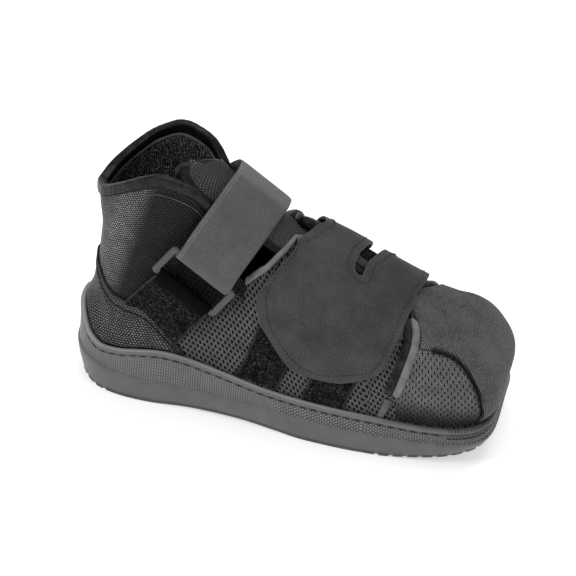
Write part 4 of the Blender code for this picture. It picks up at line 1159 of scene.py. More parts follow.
def build_upper():
    """The outer wall and the lining in one sheet that turns over at the collar and throat."""
    top = throat_top(PLACES)
    rises = np.concatenate([np.linspace(0, 0.96, 64), [0.975, 0.99, 1.0]])
    outer = []
    for rise in rises:
        sunk = ease(PLACES, 0.757, 0.772) * ease(rise, cap_low(PLACES) + 0.01, cap_low(PLACES) + 0.06)
        outer.append(on_upper(PLACES, np.maximum(rise, 1e-4) * top, -1.2 * MM * sunk))
    inner = np.array([on_upper(PLACES, np.maximum(rise, 0.02) * top, -UPPER_WALL) for rise in rises[::-2]])
    inner[..., 1] = np.minimum(inner[..., 1], 0)
    feet = []
    for inset in (LIP_WALL + GAP, LIP_WALL + GAP + UPPER_WALL):
        x, w = outline(PLACES, inset)
        feet.append(np.stack([x, -w, cup_floor(x) + GAP], axis=-1)[None])
    points = np.concatenate([feet[0], outer, inner, feet[1]])
    coords = wall_coords(PLACES, points)
    coords[len(outer) + 1:, :, 1] += LINING_MARK
    points, coords = both_sides(points, coords)
    obj = grid_object("upper_shell", points, coords, SHAFT_MESH, "mesh_fabric")
    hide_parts("upper")
    # painted shade and a painted lit band on the shaft's cloth
    paint_shaft_shade(obj)
    middle = centres(obj)
    side = (middle[:, 0] > SHAFT_FRONT) & ((over_ring(middle) < 12 * MM) | (middle[:, 0] > -0.03))
    refinish(obj, np.where(face_coords(obj)[:, 1] > LINING_MARK / 2, 2, side), SIDE_MESH, LINING)


def paint_shaft_shade(obj):
    """Painted shade kept on the mesh: darkens the shaft's cloth either side of a painted lit band, round and
    above the ring, and on the far side.
    """
    x, y, z = vertices(obj).T
    across = x - 0.25 * (z - 0.15)
    # painted lit band: the cloth is darkened behind and in front of the band where light catches the heel's
    # curve
    shaft = 0.45 * (1 - ease(across, -0.134, -0.122)) + 0.88 * ease(across, -0.113, -0.099)
    from_ring = np.hypot(x - RING_MIDDLE[0], z - RING_MIDDLE[2])
    above = np.where(x < -0.03, over_ring(vertices(obj)), 0)
    # painted shadow round the ring and above it, under the strap
    side = np.maximum(0.92 * (1 - ease(from_ring, 24 * MM, 40 * MM)), 0.85 * ease(above, 2 * MM, 10 * MM))
    near = np.where((x > -0.079) & (above < 12 * MM), side, shaft)
    # an even painted shade on the far side
    float_attribute(obj, "shade", near + (0.45 - near) * ease(y, 0, 12 * MM))


def edge_frame(place):
    """The upper's edge there, its outward and upward directions, and a function for rises below the edge."""
    edge = throat_top(place)
    top = on_upper(place, edge)
    tries = np.linspace(0, 0.3, 61)
    walks = np.array([on_upper(place, edge * (1 - share)) for share in tries])
    steps = np.linalg.norm(np.diff(walks, axis=0), axis=2)
    run = np.concatenate([np.zeros((1, len(place))), np.cumsum(steps, axis=0)])

    def down(depth):
        return np.array([edge[k] * (1 - np.interp(depth, run[:, k], tries)) for k in range(len(place))])

    up = top - on_upper(place, down(2 * MM))
    up /= np.linalg.norm(up, axis=1, keepdims=True)
    out = on_upper(place, edge, 1.0) - top
    out -= up * (out * up).sum(axis=1, keepdims=True)
    out /= np.linalg.norm(out, axis=1, keepdims=True)
    return top, out, up, down


def build_edge_binding(name, node, place, finish, depth):
    """A rolled tape over the upper's edge, with small puckers along it. The collar's ends at the throat."""
    collar = node == "collar_binding"
    top, out, up, down = edge_frame(place)
    half = UPPER_WALL / 2 + 1.6 * LAY_GAP + BINDING_WALL
    along = place * HALF_PERIMETER / MM
    pucker = 0.12 * MM * np.sin(along * 0.9) * np.sin(along * 0.37)
    leg = []
    for t in np.linspace(1, 0.12, 7):
        fullness = 0.35 + 0.65 * math.sin(math.pi / 2 * min(1, (1 - t) * 2.2))
        leg.append((down(depth * t), 1.6 * LAY_GAP + BINDING_WALL * fullness))
    middle = top - out * UPPER_WALL / 2
    columns = [on_upper(place, rise, lift + pucker) for rise, lift in leg]
    for a in np.radians(np.linspace(8, 172, 13)):
        columns.append(middle + out * half * math.cos(a) + up * (half * 0.62 * math.sin(a) + pucker[:, None]))
    columns += [on_upper(place, rise, -UPPER_WALL - lift) for rise, lift in leg[::-1]]
    points = np.array(columns)
    run = run_of(points)
    coords = spread(place * HALF_PERIMETER, run)
    if collar:
        points, coords = both_sides(points[:, ::-1], coords[:, ::-1])
        points, coords = points[::-1], coords[::-1]
    else:
        points, coords = both_sides(points, coords)
    obj = grid_object(name, points, coords, finish, "binding_tape")
    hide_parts(node)
    if collar:
        # painted shade on the binding's inner leg, along the channel
        refinish(obj, face_coords(obj)[:, 1] > run[len(leg) + 10], PAINTED_CHANNEL_SHADE)
    return obj


def build_bindings():
    collar = np.linspace(0, COLLAR_END, 260)
    build_edge_binding("collar_tape", "collar_binding", collar, TAPE, BINDING_DEPTH)
    throat = np.linspace(0.395, 0.575, 150)
    obj = build_edge_binding("throat_tape", "throat_binding", throat, LIGHT_TAPE, 4.0 * MM)
    refinish(obj, centres(obj)[:, 1] > -0.012, TAPE)
    _, out, _, down = edge_frame(collar)
    row = on_upper(collar, down(BINDING_DEPTH - 1.2 * MM), 1.6 * LAY_GAP + 0.8 * BINDING_WALL)
    stitches("collar_stitches", pair(row), pair(out), DARK_THREAD_AND_PAINTED_SHADE, 2.4 * MM, 1.6 * MM, 0.34 * MM)
    for name, depth, height, width, tall, finish, first in (
        ("collar_seam", 1.3 * MM, 0.35 * MM, 1.1 * MM, 0.9 * MM, DARK_THREAD_AND_PAINTED_SHADE, -1),
        ("collar_seam_line", 6.5 * MM, 0.25 * MM, 0.8 * MM, 0.8 * MM, LIGHT_PIPING, 0.15),
    ):
        line = on_upper(collar, down(BINDING_DEPTH + depth), height)[collar > first]
        tube(name, line, out[collar > first], width, tall, finish, "binding_tape", 8, mirror=True)
    inner = on_upper(collar, down(BINDING_DEPTH + 1.6 * MM), -UPPER_WALL - 0.9 * MM)
    tube("lining_piping", inner, -out, 2.6 * MM, 1.8 * MM, LIGHT_PIPING, "insole_fabric", 10, mirror=True)


def build_lining_pad():
    """The padded knit inside the shaft, which starts below a channel under the binding."""
    place = np.linspace(0, COLLAR_END, 200)
    start = edge_frame(place)[3](BINDING_DEPTH + 2.6 * MM)
    rows = []
    for t in np.linspace(0, 1, 40):
        puff = 1.5 * MM * (1 - (1 - min(1, t / 0.08)) ** 2) * min(1, (1 - t) / 0.1 + 0.2)
        rows.append(on_upper(place, start + (0.22 - start) * t, -UPPER_WALL - 0.15 * MM - puff))
    points = np.array(rows)
    points, coords = both_sides(points[:, ::-1], wall_coords(place, points)[:, ::-1])
    obj = grid_object("lining_pad", points[::-1], coords[::-1], LINING, "insole_fabric")


# Overlays on the upper


def build_counter():
    place = np.linspace(0, 0.2875, 150)
    low = rise_over_lip(place, 0.3 * MM)
    high = np.maximum(smooth(COUNTER_EDGE, place)[0], low + 0.012)
    rows = []
    for t in np.linspace(0, 1, 34):
        rows.append(on_upper(place, low + t * (high - low), 0.2 * MM + 0.8 * MM * min(1, 0.3 + 8 * t)))
    points = np.array(rows)
    points, coords = both_sides(points[:, ::-1], wall_coords(place, points)[:, ::-1])
    obj = grid_object("counter_panel", points[::-1], coords[::-1], COUNTER_MESH, "mesh_fabric", 0.8 * MM)
    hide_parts("heel_counter")
    for number, (shift, width) in enumerate(((0.004, 2.7 * MM), (-0.030, 1.7 * MM)), 1):
        path, hint = surface_line(place, np.maximum(high + shift, low), 0.7 * MM)
        name = f"counter_piping_{number}"
        tube(name, carried(path[::-1]), carried(hint[::-1]), width, 2.2 * MM, TAPE, "binding_tape", 12)
    path, hint = surface_line(place, np.maximum(high - 0.050, low), 1.0 * MM)
    stitches("counter_stitches", pair(path), pair(hint), DARK_THREAD_AND_PAINTED_SHADE, 2.2 * MM, 1.3 * MM, 0.28 * MM)


def crease_painted_shade(obj, amount):
    """Painted shade in the crease round the toe cap: how much to darken the cloth at each vertex."""
    place = np.linspace(0.775, SIDE_PANEL_FRONT, 160)
    path = on_upper(place, cap_low(place), 0.8 * MM)
    co = vertices(obj)
    co[:, 1] = -np.abs(co[:, 1])
    away = np.min(np.linalg.norm(co[:, None] - path[None], axis=2), axis=1)
    return amount * (1 - ease(away, 0.9 * MM, 4.2 * MM))


def build_toe_cap():
    """The knit panel over the toes, tucked down along the crease."""
    last_place = 0.868
    rear_span, crease_span = np.linspace(CAP_REAR, 0.84, 60), np.linspace(0.84, last_place, 60)[1:]
    place = np.concatenate([rear_span, crease_span, np.linspace(last_place, 1, 90)[1:]])
    low = cap_low(place)
    rear = np.clip((place - CAP_REAR) / 0.006, 0.25, 1)
    full = OVERLAY_WALL + 0.7 * MM + 1.3 * MM * ease(place, 0.79, 0.83)
    rows = []
    for t in np.concatenate([np.linspace(0, 0.12, 12), np.linspace(0.12, 1, 50)[1:]]):
        rise = low + t * (1 - low)
        run = (rise - low) * 95 * MM
        puff = full * np.sqrt(np.clip(run / (5.0 * MM), 0, 1)) - 0.9 * MM * ease(run, 6 * MM, 22 * MM)
        by_tape = smooth(TOE_BINDING_LINE, rise)[0] + 0.011
        shift = np.maximum(CAP_REAR - by_tape, 0) * (1 - ease(place, CAP_REAR, 0.80))
        rows.append(on_upper(place - shift, rise, LAY_GAP + puff * rear))
    points = np.array(rows)
    x, y, z = np.moveaxis(points, -1, 0)
    coords = np.stack([x - z * 0.5, y - (z[-1:] - z) * 0.6], axis=-1)
    coords = np.concatenate([coords, coords[-2::-1] * (1, -1)])
    obj = grid_object("toe_panel", carried(points), coords, TWILL, "toe_knit")
    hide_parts("toe_cap")
    # painted shade along the crease
    float_attribute(obj, "shade", crease_painted_shade(obj, 0.85))
    soften(obj, (0.098, 0, 0.088), 0.040)


def build_toe_side():
    """The mesh panel between the toe binding, the lip and the crease, puffed a little."""
    place = np.linspace(0.700, SIDE_PANEL_FRONT, 110)
    low = rise_over_lip(place, 0.2 * MM)
    table = np.array(TOE_BINDING_LINE)[:5]
    rear_high = np.interp(place, table[:, 1], table[:, 0])
    under_cap = smooth(TOE_CAP_EDGE, np.maximum(place, TOE_CAP_EDGE[0][0]))[0]
    high = np.maximum(np.minimum(np.where(place < 0.735, rear_high, 1), under_cap), low + 0.004)
    front = (SIDE_PANEL_FRONT - place) * HALF_PERIMETER * 1.6
    rows = []
    for t in np.linspace(0, 1, 60):
        from_edge = min(t, 1 - t) * (high - low) * 100 * MM
        puff = 1.5 * MM * np.sqrt(np.clip(np.minimum(from_edge, front) / (5 * MM), 0, 1))
        rows.append(on_upper(place, low + t * (high - low), 0.15 * MM + puff))
    points = np.array(rows)
    obj = mirrored("toe_side_panels", points, wall_coords(place, points), TOE_MESH, "mesh_fabric")
    # painted shade on the lower part of the panel over the lip, and in the crease
    low_painted_shade = 0.84 * (1 - ease(vertices(obj)[:, 2] - 0.033, 4 * MM, 22 * MM))
    float_attribute(obj, "shade", np.maximum(low_painted_shade, crease_painted_shade(obj, 0.9)))


def build_toe_binding():
    rise = np.linspace(0.15, 1.0, 120)
    place = smooth(TOE_BINDING_LINE, rise)[0]
    path, hint = surface_line(place, rise, LAY_GAP + 0.35 * TOE_BINDING_WALL)
    hint[-1, 1] = 0
    width, height = TOE_BINDING_WIDTH, 1.7 * TOE_BINDING_WALL
    obj = tube("toe_tape", carried(path), carried(hint), width, height, LIGHT_TAPE, "binding_tape", 16)
    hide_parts("toe_binding")
    refinish(obj, centres(obj)[:, 1] > -0.024, TAPE)
    path, hint = surface_line(place - 0.0150, rise, 0.4 * MM)
    tube("toe_seam", path, hint, 7.0 * MM, 1.6 * MM, OVERLOCK, "mesh_fabric", 12, mirror=True)
    rows = []
    hints = []
    for shift in (-0.0082, -0.0190):
        path, hint = surface_line(place + shift, rise, 1.1 * MM)
        rows += pair(path)
        hints += pair(hint)
    stitches("toe_seam_stitches", rows, hints, DARK_THREAD_AND_PAINTED_SHADE, 1.6 * MM, 1.3 * MM, 0.45 * MM, slant=1.0 * MM)


def lay_patch(feet, tops, rows, columns, height):
    """Points of a strip from two feet to two tops, each a place and a rise, and their own places and rises."""
    a = np.linspace(feet[0], tops[0], rows)[:, None]
    b = np.linspace(feet[1], tops[1], rows)[:, None]
    share = np.linspace(0, 1, columns)[None, :, None]
    grid = a * (1 - share) + b * share
    return on_upper(grid[..., 0], grid[..., 1], height), grid


def build_strips():
    for number, row in enumerate(LOOP_STRIPS, 1):
        rear_foot, rear_top, rear_rise, front_foot, front_top, front_rise = row
        foot_rise = rise_over_lip(np.array([rear_foot, front_foot]), 0.2 * MM)
        feet = ((rear_foot, foot_rise[0]), (front_foot, foot_rise[1]))
        tops = ((rear_top, rear_rise), (front_top, front_rise))
        points, grid = lay_patch(feet, tops, 60, 60, LAY_GAP + STRIP_WALL)
        obj = grid_object(
            f"loop_pile_{number}", points, lengths(points), VELVET, "loop_velvet", STRIP_WALL, 0.4 * MM
        )
        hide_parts(f"loop_strip_{number}")
        for side, column in (("rear", 0), ("front", -1)):
            path, hint = surface_line(grid[:, column, 0], grid[:, column, 1], LAY_GAP + 0.8 * STRIP_WALL)
            tube(f"loop_edge_{side}_{number}", path, hint, 1.7 * MM, 1.1 * MM, TAPE, "binding_tape", 8)


def build_tab():
    places = (0.664, 0.677)
    feet = list(zip(places, rise_over_lip(np.array(places), 0.2 * MM)))
    points, _ = lay_patch(feet, ((0.677, 0.128), (0.692, 0.128)), 16, 12, LAY_GAP + STRIP_WALL)
    obj = grid_object(
        "toe_tab", points, lengths(points), LIGHT_PIPING, "binding_tape", STRIP_WALL, 0.5 * MM
    )
    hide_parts("binding_tab")


def flap_points(measure, place, height):
    """Points on the flap. measure runs up the near side to 1 and down the far side to 2."""
    over_strips = STRIP_WALL + LAY_GAP + 1.2 * MM * np.clip((measure - 0.2) / 0.4, 0, 1)
    lift = LAY_GAP + over_strips * np.clip((1.93 - measure) / 0.5, 0, 1)
    points = on_upper(place, np.where(measure <= 1, measure, 2 - measure), lift + height)
    points[..., 1] *= np.where(measure > 1, -1, 1)
    return points


def build_flap():
    """The forefoot flap: one sheet on the near side, which a slot splits into two straps on the far side."""
    tip_measure, tip, _ = FLAP_SLOT[0]
    measure = np.concatenate([
        0.143 + (0.30 - 0.143) * np.linspace(0, 1, 26) ** 2,
        np.linspace(0.30, 0.80, 40)[1:],
        0.80 + 0.05 * np.linspace(0, 1, 20)[1:] ** 2,
        np.linspace(0.85, 1.0, 26)[1:],
        np.linspace(1.0, 1.93, 60)[1:],
    ])
    rear, front = smooth(FLAP_EDGES, measure)
    slot_rear, slot_front = smooth(FLAP_SLOT, measure)
    before = measure <= tip_measure
    tip_row = int(np.searchsorted(measure, tip_measure - 1e-6))
    tip_share = (tip - rear[tip_row]) / (front[tip_row] - rear[tip_row])
    slot_rear = np.where(before, rear + tip_share * (front - rear), slot_rear)
    slot_front = np.where(before, slot_rear, slot_front)
    shares = np.linspace(0, 1, 36)
    rear_part = rear[:, None] + shares * (slot_rear - rear)[:, None]
    front_part = slot_front[:, None] + shares * (front - slot_front)[:, None]
    place = np.concatenate([rear_part, front_part], axis=1)
    grid_measure = np.broadcast_to(measure[:, None], place.shape)
    wave = 0.25 * MM * np.sin(place * 60) * np.sin(grid_measure * 9)
    points = flap_points(grid_measure, place, FLAP_WALL + wave)
    keep = np.ones((len(measure) - 1, place.shape[1] - 1), bool)
    keep[tip_row:, len(shares) - 1] = False
    thickness = FLAP_WALL * 0.8
    obj = grid_object("flap_cloth", points, lengths(points), SUEDE, "flap_suede", thickness, 0.55 * MM, keep)
    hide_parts("forefoot_flap")
    build_flap_stitches()


def build_flap_stitches():
    """Stitch rows inside the flap's edge and round its slot, and the pale line of its cut edge."""
    measure = np.linspace(0.145, 1.9, 500)
    rear, front = smooth(FLAP_EDGES, measure)
    raised = measure + 0.024 * np.exp(-(((measure - 0.145) / 0.09) ** 2))
    middle = 0.5 * (rear + front)
    shift = 3.7 * MM / HALF_PERIMETER * 1.25 * (0.35 + 0.65 * np.clip((front - rear - 0.012) / 0.02, 0, 1))
    inner_rear = np.minimum(rear + shift, middle)
    inner_front = np.maximum(front - shift, middle)
    around = np.linspace(0.815, 1.8, 200)
    slot_rear, slot_front = smooth(FLAP_SLOT, around)
    slot_shift = 4.2 * MM / HALF_PERIMETER * 1.1
    turn = np.linspace(0, math.pi, 30)
    half = 0.5 * (slot_front[0] - slot_rear[0]) + slot_shift
    tip_place = 0.5 * (slot_rear[0] + slot_front[0]) - half * np.cos(turn)
    tip_measure = around[0] - 0.055 * np.sin(turn)
    inner = (np.concatenate([raised[::-1], raised]), np.concatenate([inner_rear[::-1], inner_front]))
    by_slot = (
        np.concatenate([around[::-1], tip_measure, around]),
        np.concatenate([slot_rear[::-1] - slot_shift, tip_place, slot_front + slot_shift]),
    )
    lift = FLAP_WALL + 0.02 * MM
    lines = [flap_points(*line, lift) for line in (inner, by_slot)]
    hints = [flap_points(*line, lift + 1 * MM) - points for line, points in zip((inner, by_slot), lines)]
    stitches("flap_stitches", lines, hints, THREAD, 1.5 * MM, 1.1 * MM, 0.26 * MM)
    # painted shade: near-black spindles stand for the needle holes beside the stitches
    stitches("flap_needle_hole_shade", lines, hints, DARK_THREAD_AND_PAINTED_SHADE, 0.9 * MM, 1.7 * MM, 0.5 * MM)
    rim = (np.concatenate([measure[::-1], measure]), np.concatenate([rear[::-1], front]))
    slot = (
        np.concatenate([around[::-1], [0.803], around]),
        np.concatenate([slot_rear[::-1], [FLAP_SLOT[0][1]], slot_front]),
    )
    for name, line, hint in (("flap_edge", rim, (0.3, -0.6, 0.75)), ("slot_edge", slot, (0.3, -0.4, 0.85))):
        path = resample(flap_points(*line, FLAP_WALL - 0.35 * MM), 0.8 * MM)
        tube(name, path, np.array(hint), 0.6 * MM, 0.6 * MM, EDGE_THREAD, "flap_suede", 8)
    build_slot_layers()


def build_slot_layers():
    """What shows through the slot: dark pile over the vamp, with one paler strip across it."""
    place = np.linspace(0.582, 0.642, 40)[None, :]
    points = on_upper(place, np.linspace(0.76, 1.0, 24)[:, None], 1.0 * MM)
    coords = lengths(points)
    far = coords[-2::-1].copy()
    far[..., 1] = 2 * coords[-1:, :, 1] - far[..., 1]
    grid_object("slot_pile", carried(points), np.concatenate([coords, far]), VELVET, "loop_velvet")
    points = on_upper(place, np.linspace(0.872, 0.925, 24)[:, None], 1.6 * MM)
    grid_object("slot_strip", points, lengths(points), TAPE, "loop_velvet")


# Ring, loop and strap


def build_ring():
    """A moulded ring with rounded bars."""
    rim = []
    for cx, cy, start in ((1, 1, 0), (-1, 1, 90), (-1, -1, 180), (1, -1, 270)):
        for step in range(10):
            turn = math.radians(start + 10 * step)
            rim.append((cx, cy, math.cos(turn), math.sin(turn)))
    section = []
    for turn in np.linspace(0, 2 * math.pi, 25)[:-1]:
        across, tall = (abs(part) ** 0.62 * math.copysign(1, part) for part in (np.cos(turn), np.sin(turn)))
        section.append((RING_BAR / 2 * (1 - across), RING_THICKNESS / 2 * tall))
    rows = []
    for cx, cy, c, s in rim + rim[:1]:
        row = []
        for inset, height in section + section[:1]:
            reach = max(RING_CORNER - inset, 0.6 * MM)
            corner = max(RING_CORNER, inset + 0.6 * MM)
            x = cx * (RING_LENGTH / 2 - corner) + c * reach
            y = cy * (RING_HEIGHT / 2 - corner) + s * reach
            row.append(RING_MIDDLE + RING_ALONG * x + RING_UP * y + OUTSIDE * height)
        rows.append(row)
    points = np.array(rows)
    obj = grid_object("ring_frame", points[:, ::-1], lengths(points), PLASTIC, "ring_plastic")
    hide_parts("ring")


# How far the webbing lies from the ring's middle plane, and from the bar that it turns round
BAR_PLACE = RING_HEIGHT / 2 - RING_BAR / 2
THICK = RING_THICKNESS / 2 + GAP + STRAP_WALL / 2
WRAP = RING_BAR / 2 + GAP + STRAP_WALL / 2
RING_FRONT = RING_MIDDLE[1] - THICK
RING_BACK = RING_MIDDLE[1] + THICK


def by_ring(slide, rows):
    """World points of rows of (y, distance up the slope), slid along the ring."""
    points = np.zeros((len(rows), 3)) + (RING_MIDDLE[0], 0, RING_MIDDLE[2])
    points += np.multiply.outer(slide, RING_ALONG)
    points += RING_UP * rows[:, 1:2]
    points[:, 1] = rows[:, 0]
    return points


def build_ankle_strap():
    """The webbing, from its fold round the ring's upper bar, over the instep and down the far side."""
    share = np.linspace(0, 1, 34)
    across, reach, skew = smooth(ANKLE_STRAP_PATH, share)
    climb = SHAFT_HEIGHT - RING_MIDDLE[2]
    low = BAR_PLACE - WRAP
    fold = [
        (RING_BACK, BAR_PLACE + 3.5 * MM, 0),
        (RING_BACK, BAR_PLACE + 0.5 * MM, 0),
        (RING_BACK - 0.15 * THICK, low + 0.9 * MM, 0),
        (RING_BACK - 0.6 * THICK, low + 0.1 * MM, 0),
        (RING_MIDDLE[1], low, 0),
        (RING_FRONT + 0.6 * THICK, low + 0.1 * MM, 0),
        (RING_FRONT + 0.15 * THICK, low + 0.9 * MM, 0),
        (RING_FRONT, BAR_PLACE + 0.5 * MM, 0),
        (RING_FRONT + 0.4 * MM, BAR_PLACE + 4 * MM, 0),
    ]
    tail = np.stack([across * abs(RING_MIDDLE[1]), reach * climb, skew * RING_LENGTH], axis=1)[share > 0.075]
    path = round_path(np.concatenate([fold, tail]))
    path, slide = path[:, :2], path[:, 2]
    tangent = np.gradient(path, axis=0)
    tangent /= np.linalg.norm(tangent, axis=1, keepdims=True)
    side = np.stack([-tangent[:, 1], tangent[:, 0]], axis=1)
    share = np.linspace(-1, 1, 40)
    faces = []
    for sign in (1, -1):
        face = []
        for s in share:
            offset = side * sign * STRAP_WALL / 2 * (0.35 + 0.65 * (1 - abs(s) ** 14))
            face.append(by_ring(s * ANKLE_STRAP_WIDTH / 2 + slide, path + offset))
        faces.append(np.array(face))
    top, below = faces
    ring = np.concatenate([top, below[::-1], top[:1]]).transpose(1, 0, 2)
    caps = [np.broadcast_to(end.mean(axis=1, keepdims=True), end.shape) for end in (ring[:1], ring[-1:])]
    u = np.concatenate([share, share[::-1], share[:1]]) * ANKLE_STRAP_WIDTH / 2
    v = run_of(path)
    coords = spread(u, np.concatenate([v[:1], v, v[-1:]]))
    points = np.concatenate([caps[0], ring, caps[1]])
    obj = grid_object("strap_webbing", points, coords, WEBBING, "strap_webbing")
    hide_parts("ankle_strap")
    # painted highlight: how near each vertex lies to the top of the fold, where the ribs are brightened
    height = vertices(obj) @ RING_UP
    float_attribute(obj, "fold", ease(height, height.max() - 2.2 * MM, height.max() - 0.3 * MM))


def build_ankle_loop():
    """The loop round the ring's lower bar, which comes up from under the counter's edge."""
    bar = -BAR_PLACE
    high = bar + WRAP
    near_ring = bar - 5.5 * MM
    edge_place = np.linspace(0.10, COUNTER_EDGE[-1][0], 60)
    edge = on_upper(edge_place, smooth(COUNTER_EDGE, edge_place)[0], LAY_GAP + STRAP_WALL / 2) - RING_MIDDLE
    rows = []
    for shift in np.linspace(-0.5, 0.5, 41) * ANKLE_STRAP_WIDTH:
        foot = np.interp(shift, edge @ RING_ALONG, edge @ RING_UP) + 0.4 * MM
        foot_y = RING_MIDDLE[1] + np.interp(shift, edge @ RING_ALONG, edge[:, 1])
        path = round_path([
            (RING_BACK, bar + 1.2 * MM),
            (RING_BACK - 0.1 * THICK, high - 0.9 * MM),
            (RING_BACK - 0.6 * THICK, high),
            (RING_MIDDLE[1], high + 0.1 * MM),
            (RING_FRONT + 0.5 * THICK, high),
            (RING_FRONT, high - 0.9 * MM),
            (RING_FRONT - 0.2 * MM, bar - 0.5 * MM),
            (RING_FRONT + 0.4 * MM, bar - 3.2 * MM),
            (0.3 * (foot_y - 2.0 * MM) + 0.7 * (RING_BACK - 2.4 * MM), 0.3 * foot + 0.7 * near_ring),
            (0.65 * (foot_y - 2.0 * MM) + 0.35 * (RING_BACK - 2.2 * MM), 0.65 * foot + 0.35 * near_ring),
            (foot_y - 2.0 * MM, foot + 2.5 * MM),
            (foot_y - 1.2 * MM, foot),
        ])
        run = run_of(path)
        dense = between(np.linspace(0, run[-1], int(run[-1] / (0.8 * MM))), run, path)
        rows.append(by_ring(shift, between(np.linspace(0, 1, 70), np.linspace(0, 1, len(dense)), dense)))
    points = np.array(rows).transpose(1, 0, 2)
    obj = grid_object(
        "loop_strap", points[:, ::-1], lengths(points), VELVET, "loop_velvet", 1.3 * MM, 0.4 * MM
    )
    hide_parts("ankle_loop")
    # painted shadow under the ring: the loop darkens up towards the bar
    float_attribute(obj, "shade", 0.95 * ease(over_ring(vertices(obj)), bar - 13 * MM, bar - 4 * MM))
    for side, column in (("rear", 0), ("front", -1)):
        path = points[14:, column]
        tube(f"loop_strap_edge_{side}", path, OUTSIDE, 1.9 * MM, 1.5 * MM, TAPE, "binding_tape", 8)


# Tongue


def vamp_underside(x):
    ridge_x, _, ridge_z, _, _ = upper_edge(np.linspace(THROAT[-1][0], 1, 200))
    stretch = np.hypot(1, np.gradient(ridge_z) / np.gradient(ridge_x))
    binding_foot = ridge_x[0] + 1.2 * BINDING_DEPTH
    cover = np.where(ridge_x > binding_foot, UPPER_WALL + GAP, UPPER_WALL + BINDING_WALL + 3 * LAY_GAP)
    under = np.interp(x, ridge_x, ridge_z - cover * stretch)
    return np.where(x > ridge_x[0] - BINDING_DEPTH, under, SHAFT_HEIGHT)


def tongue_grid(share, across, height):
    """Points of the tongue's front face. share runs along it, across from -1 to 1."""
    x, level, half, shift, twist = smooth(TONGUE_LINE, share)
    x = x * LENGTH / 2
    half = half[:, None] * COLLAR_WIDTH / 2
    shift = shift[:, None] * COLLAR_WIDTH / 2
    twist = twist[:, None]
    levels = (TOE_BOX_HEIGHT, INSTEP_HEIGHT, SHAFT_HEIGHT)
    z = np.minimum(np.interp(level, (0, 1, 2), levels), vamp_underside(x))
    dense = np.linspace(0, 1, 12)
    dense_x, dense_level = smooth(TONGUE_LINE, dense)[:2]
    dx = np.interp(share, dense, np.gradient(dense_x * LENGTH / 2))
    dz = np.interp(share, dense, np.gradient(np.interp(dense_level, (0, 1, 2), levels)))
    size = np.hypot(dx, dz)
    out_x = np.where(dx < 0, dz, -dz) / size
    out_z = np.abs(dx) / size
    side = across[None, :]
    drop = 0.34 * half * np.abs(side) ** 2.2 - height
    turn_down = 0.42 + 0.40 * ease(share, 0.6, 0.95)[:, None]
    corner = 0.42 * ease(share, 0.93, 1.0)[:, None] * np.abs(side) ** 5
    px = x[:, None] - out_x[:, None] * drop + twist * half * side
    py = shift + half * side * (1 - 0.12 * twist)
    pz = z[:, None] - out_z[:, None] * drop - turn_down * twist * half * side - 7 * MM * corner
    return np.stack([px, py, pz], axis=-1)


def build_tongue():
    across = np.linspace(-1, 1, 61)
    points = tongue_grid(np.linspace(0, 1, 120), across, 0.9 * MM * (1 - np.abs(across[None, :]) ** 6))
    coords = lengths(points)
    obj = grid_object(
        "tongue_pad", points[:, ::-1], coords, TONGUE_KNIT, "mesh_fabric", 0.8 * TONGUE_WALL, 1.2 * MM
    )
    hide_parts("tongue")
    run = face_coords(obj)[:, 0]
    refinish(obj, run > run.max() - 4.0 * MM, TAPE)
    build_tongue_patch()
    up = np.linspace(0.42, 1, 60)
    border = np.concatenate([
        tongue_grid(up, np.array([-1.0]), 0.0)[:, 0],
        tongue_grid(np.array([1.0]), np.linspace(-1, 1, 30), 0.0)[0][1:],
        tongue_grid(up[::-1], np.array([1.0]), 0.0)[:, 0][1:],
    ])
    hint = np.array([-0.35, -0.2, 0.9])
    tube("tongue_tape", border, hint, 6.0 * MM, 4.6 * MM, TAPE, "binding_tape", 14)


def build_tongue_patch():
    """A paler patch on the tongue beside the strap, sewn down with a zigzag."""
    first, last, front = (0.690, -0.900), (0.790, -0.250), 0.97
    share, rear = np.linspace(first, last, 40).T
    across = np.linspace(0, 1, 20)
    rows = []
    for at, start in zip(share, rear):
        rows.append(tongue_grid(np.array([at]), start + (front - start) * across, 2.6 * MM)[0])
    points = np.array(rows)
    grid_object("tongue_patch", points[:, ::-1], lengths(points), WEBBING, "strap_webbing")
    zigzag = np.linspace(first, last, 60) + np.outer(np.arange(60) % 2 - 0.5, (0, 0.14))
    line = np.array([tongue_grid(np.array([at]), np.array([side]), 3.0 * MM)[0, 0] for at, side in zigzag])
    hint = np.array([-0.35, -0.4, 0.85])
    tube("tongue_patch_stitches", line, hint, 0.7 * MM, 0.6 * MM, DARK_THREAD_AND_PAINTED_SHADE, "binding_tape", 6)


# Stage


def area_light(name, place, size, power):
    """A light that shines at a point just over the footbed."""
    data = bpy.data.lights.new(name, "AREA")
    data.shape = "RECTANGLE"
    data.size, data.size_y = size
    data.energy = power
    obj = add(name, data)
    obj.location = place
    obj.rotation_euler = (Vector((0, 0, 0.08)) - Vector(place)).to_track_quat("-Z", "Y").to_euler()


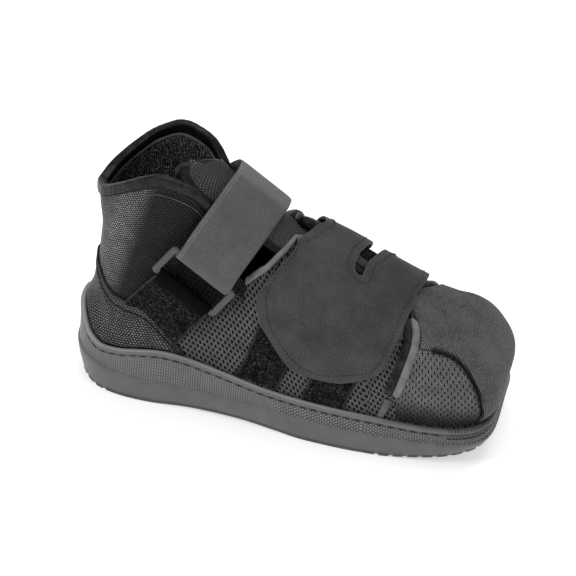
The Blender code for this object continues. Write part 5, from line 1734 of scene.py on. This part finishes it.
def build_stage():
    scene = bpy.context.scene
    scene.view_settings.view_transform = "Standard"
    scene.world = bpy.data.worlds.new("studio")
    scene.world.use_nodes = True
    sky = scene.world.node_tree.nodes["Background"]
    sky.inputs["Color"].default_value = (1, 1, 1, 1)
    sky.inputs["Strength"].default_value = 0.42
    mesh = bpy.data.meshes.new("floor")
    reach = 6.0
    corners = [(x * reach, y * reach, 0) for x, y in ((-1, -1), (1, -1), (1, 1), (-1, 1))]
    mesh.from_pydata(corners, [], [(0, 1, 2, 3)])
    mesh.uv_layers.new(name="UVMap")
    floor = add("floor", mesh)
    mesh.materials.append(floor_finish())
    area_light("key", (-1.05, -0.95, 0.95), (0.7, 0.9), 10.0)
    area_light("top", (0.15, 0.45, 1.3), (1.2, 0.8), 8.0)
    area_light("front", (0.9, -1.2, 0.7), (0.8, 0.8), 3.0)


def build_camera():
    """The photograph's camera: its angles, roll, distance and framing, with no shift."""
    azimuth, elevation, roll = math.radians(8.43), math.radians(33.97), math.radians(4.82)
    distance, lens, pixels_per_metre = 3.78, 342.6, 1450
    target, target_pixel, middle_pixel = Vector((0, 0, 0.05)), (293.81, 333.93), 288
    level = math.cos(elevation)
    back = Vector((math.sin(azimuth) * level, -math.cos(azimuth) * level, math.sin(elevation)))
    right = Vector((math.cos(azimuth), math.sin(azimuth), 0))
    up = back.cross(right)
    side = right * math.cos(roll) + up * math.sin(roll)
    rise = up * math.cos(roll) - right * math.sin(roll)
    place = target + back * distance
    aim = target - side * ((target_pixel[0] - middle_pixel) / pixels_per_metre)
    aim += rise * ((target_pixel[1] - middle_pixel) / pixels_per_metre)
    look = (place - aim).normalized()
    side = (side - look * side.dot(look)).normalized()
    rise = look.cross(side)
    data = bpy.data.cameras.new("camera")
    data.lens = lens
    data.sensor_width = 36
    data.clip_end = 50
    obj = add("camera", data)
    obj.matrix_world = Matrix.Translation(place) @ Matrix((side, rise, look)).transposed().to_4x4()
    bpy.context.scene.camera = obj


for build in (
    build_camera, build_stage, build_sole, build_sole_stitches, build_tread_rim, build_insole, build_upper,
    build_bindings, build_lining_pad, build_counter, build_toe_cap, build_toe_side, build_toe_binding,
    build_strips, build_tab, build_flap, build_ring, build_ankle_strap, build_ankle_loop, build_tongue,
):
    build()
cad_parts["outsole"].data.materials.clear()
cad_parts["outsole"].data.materials.append(TREAD_RUBBER)
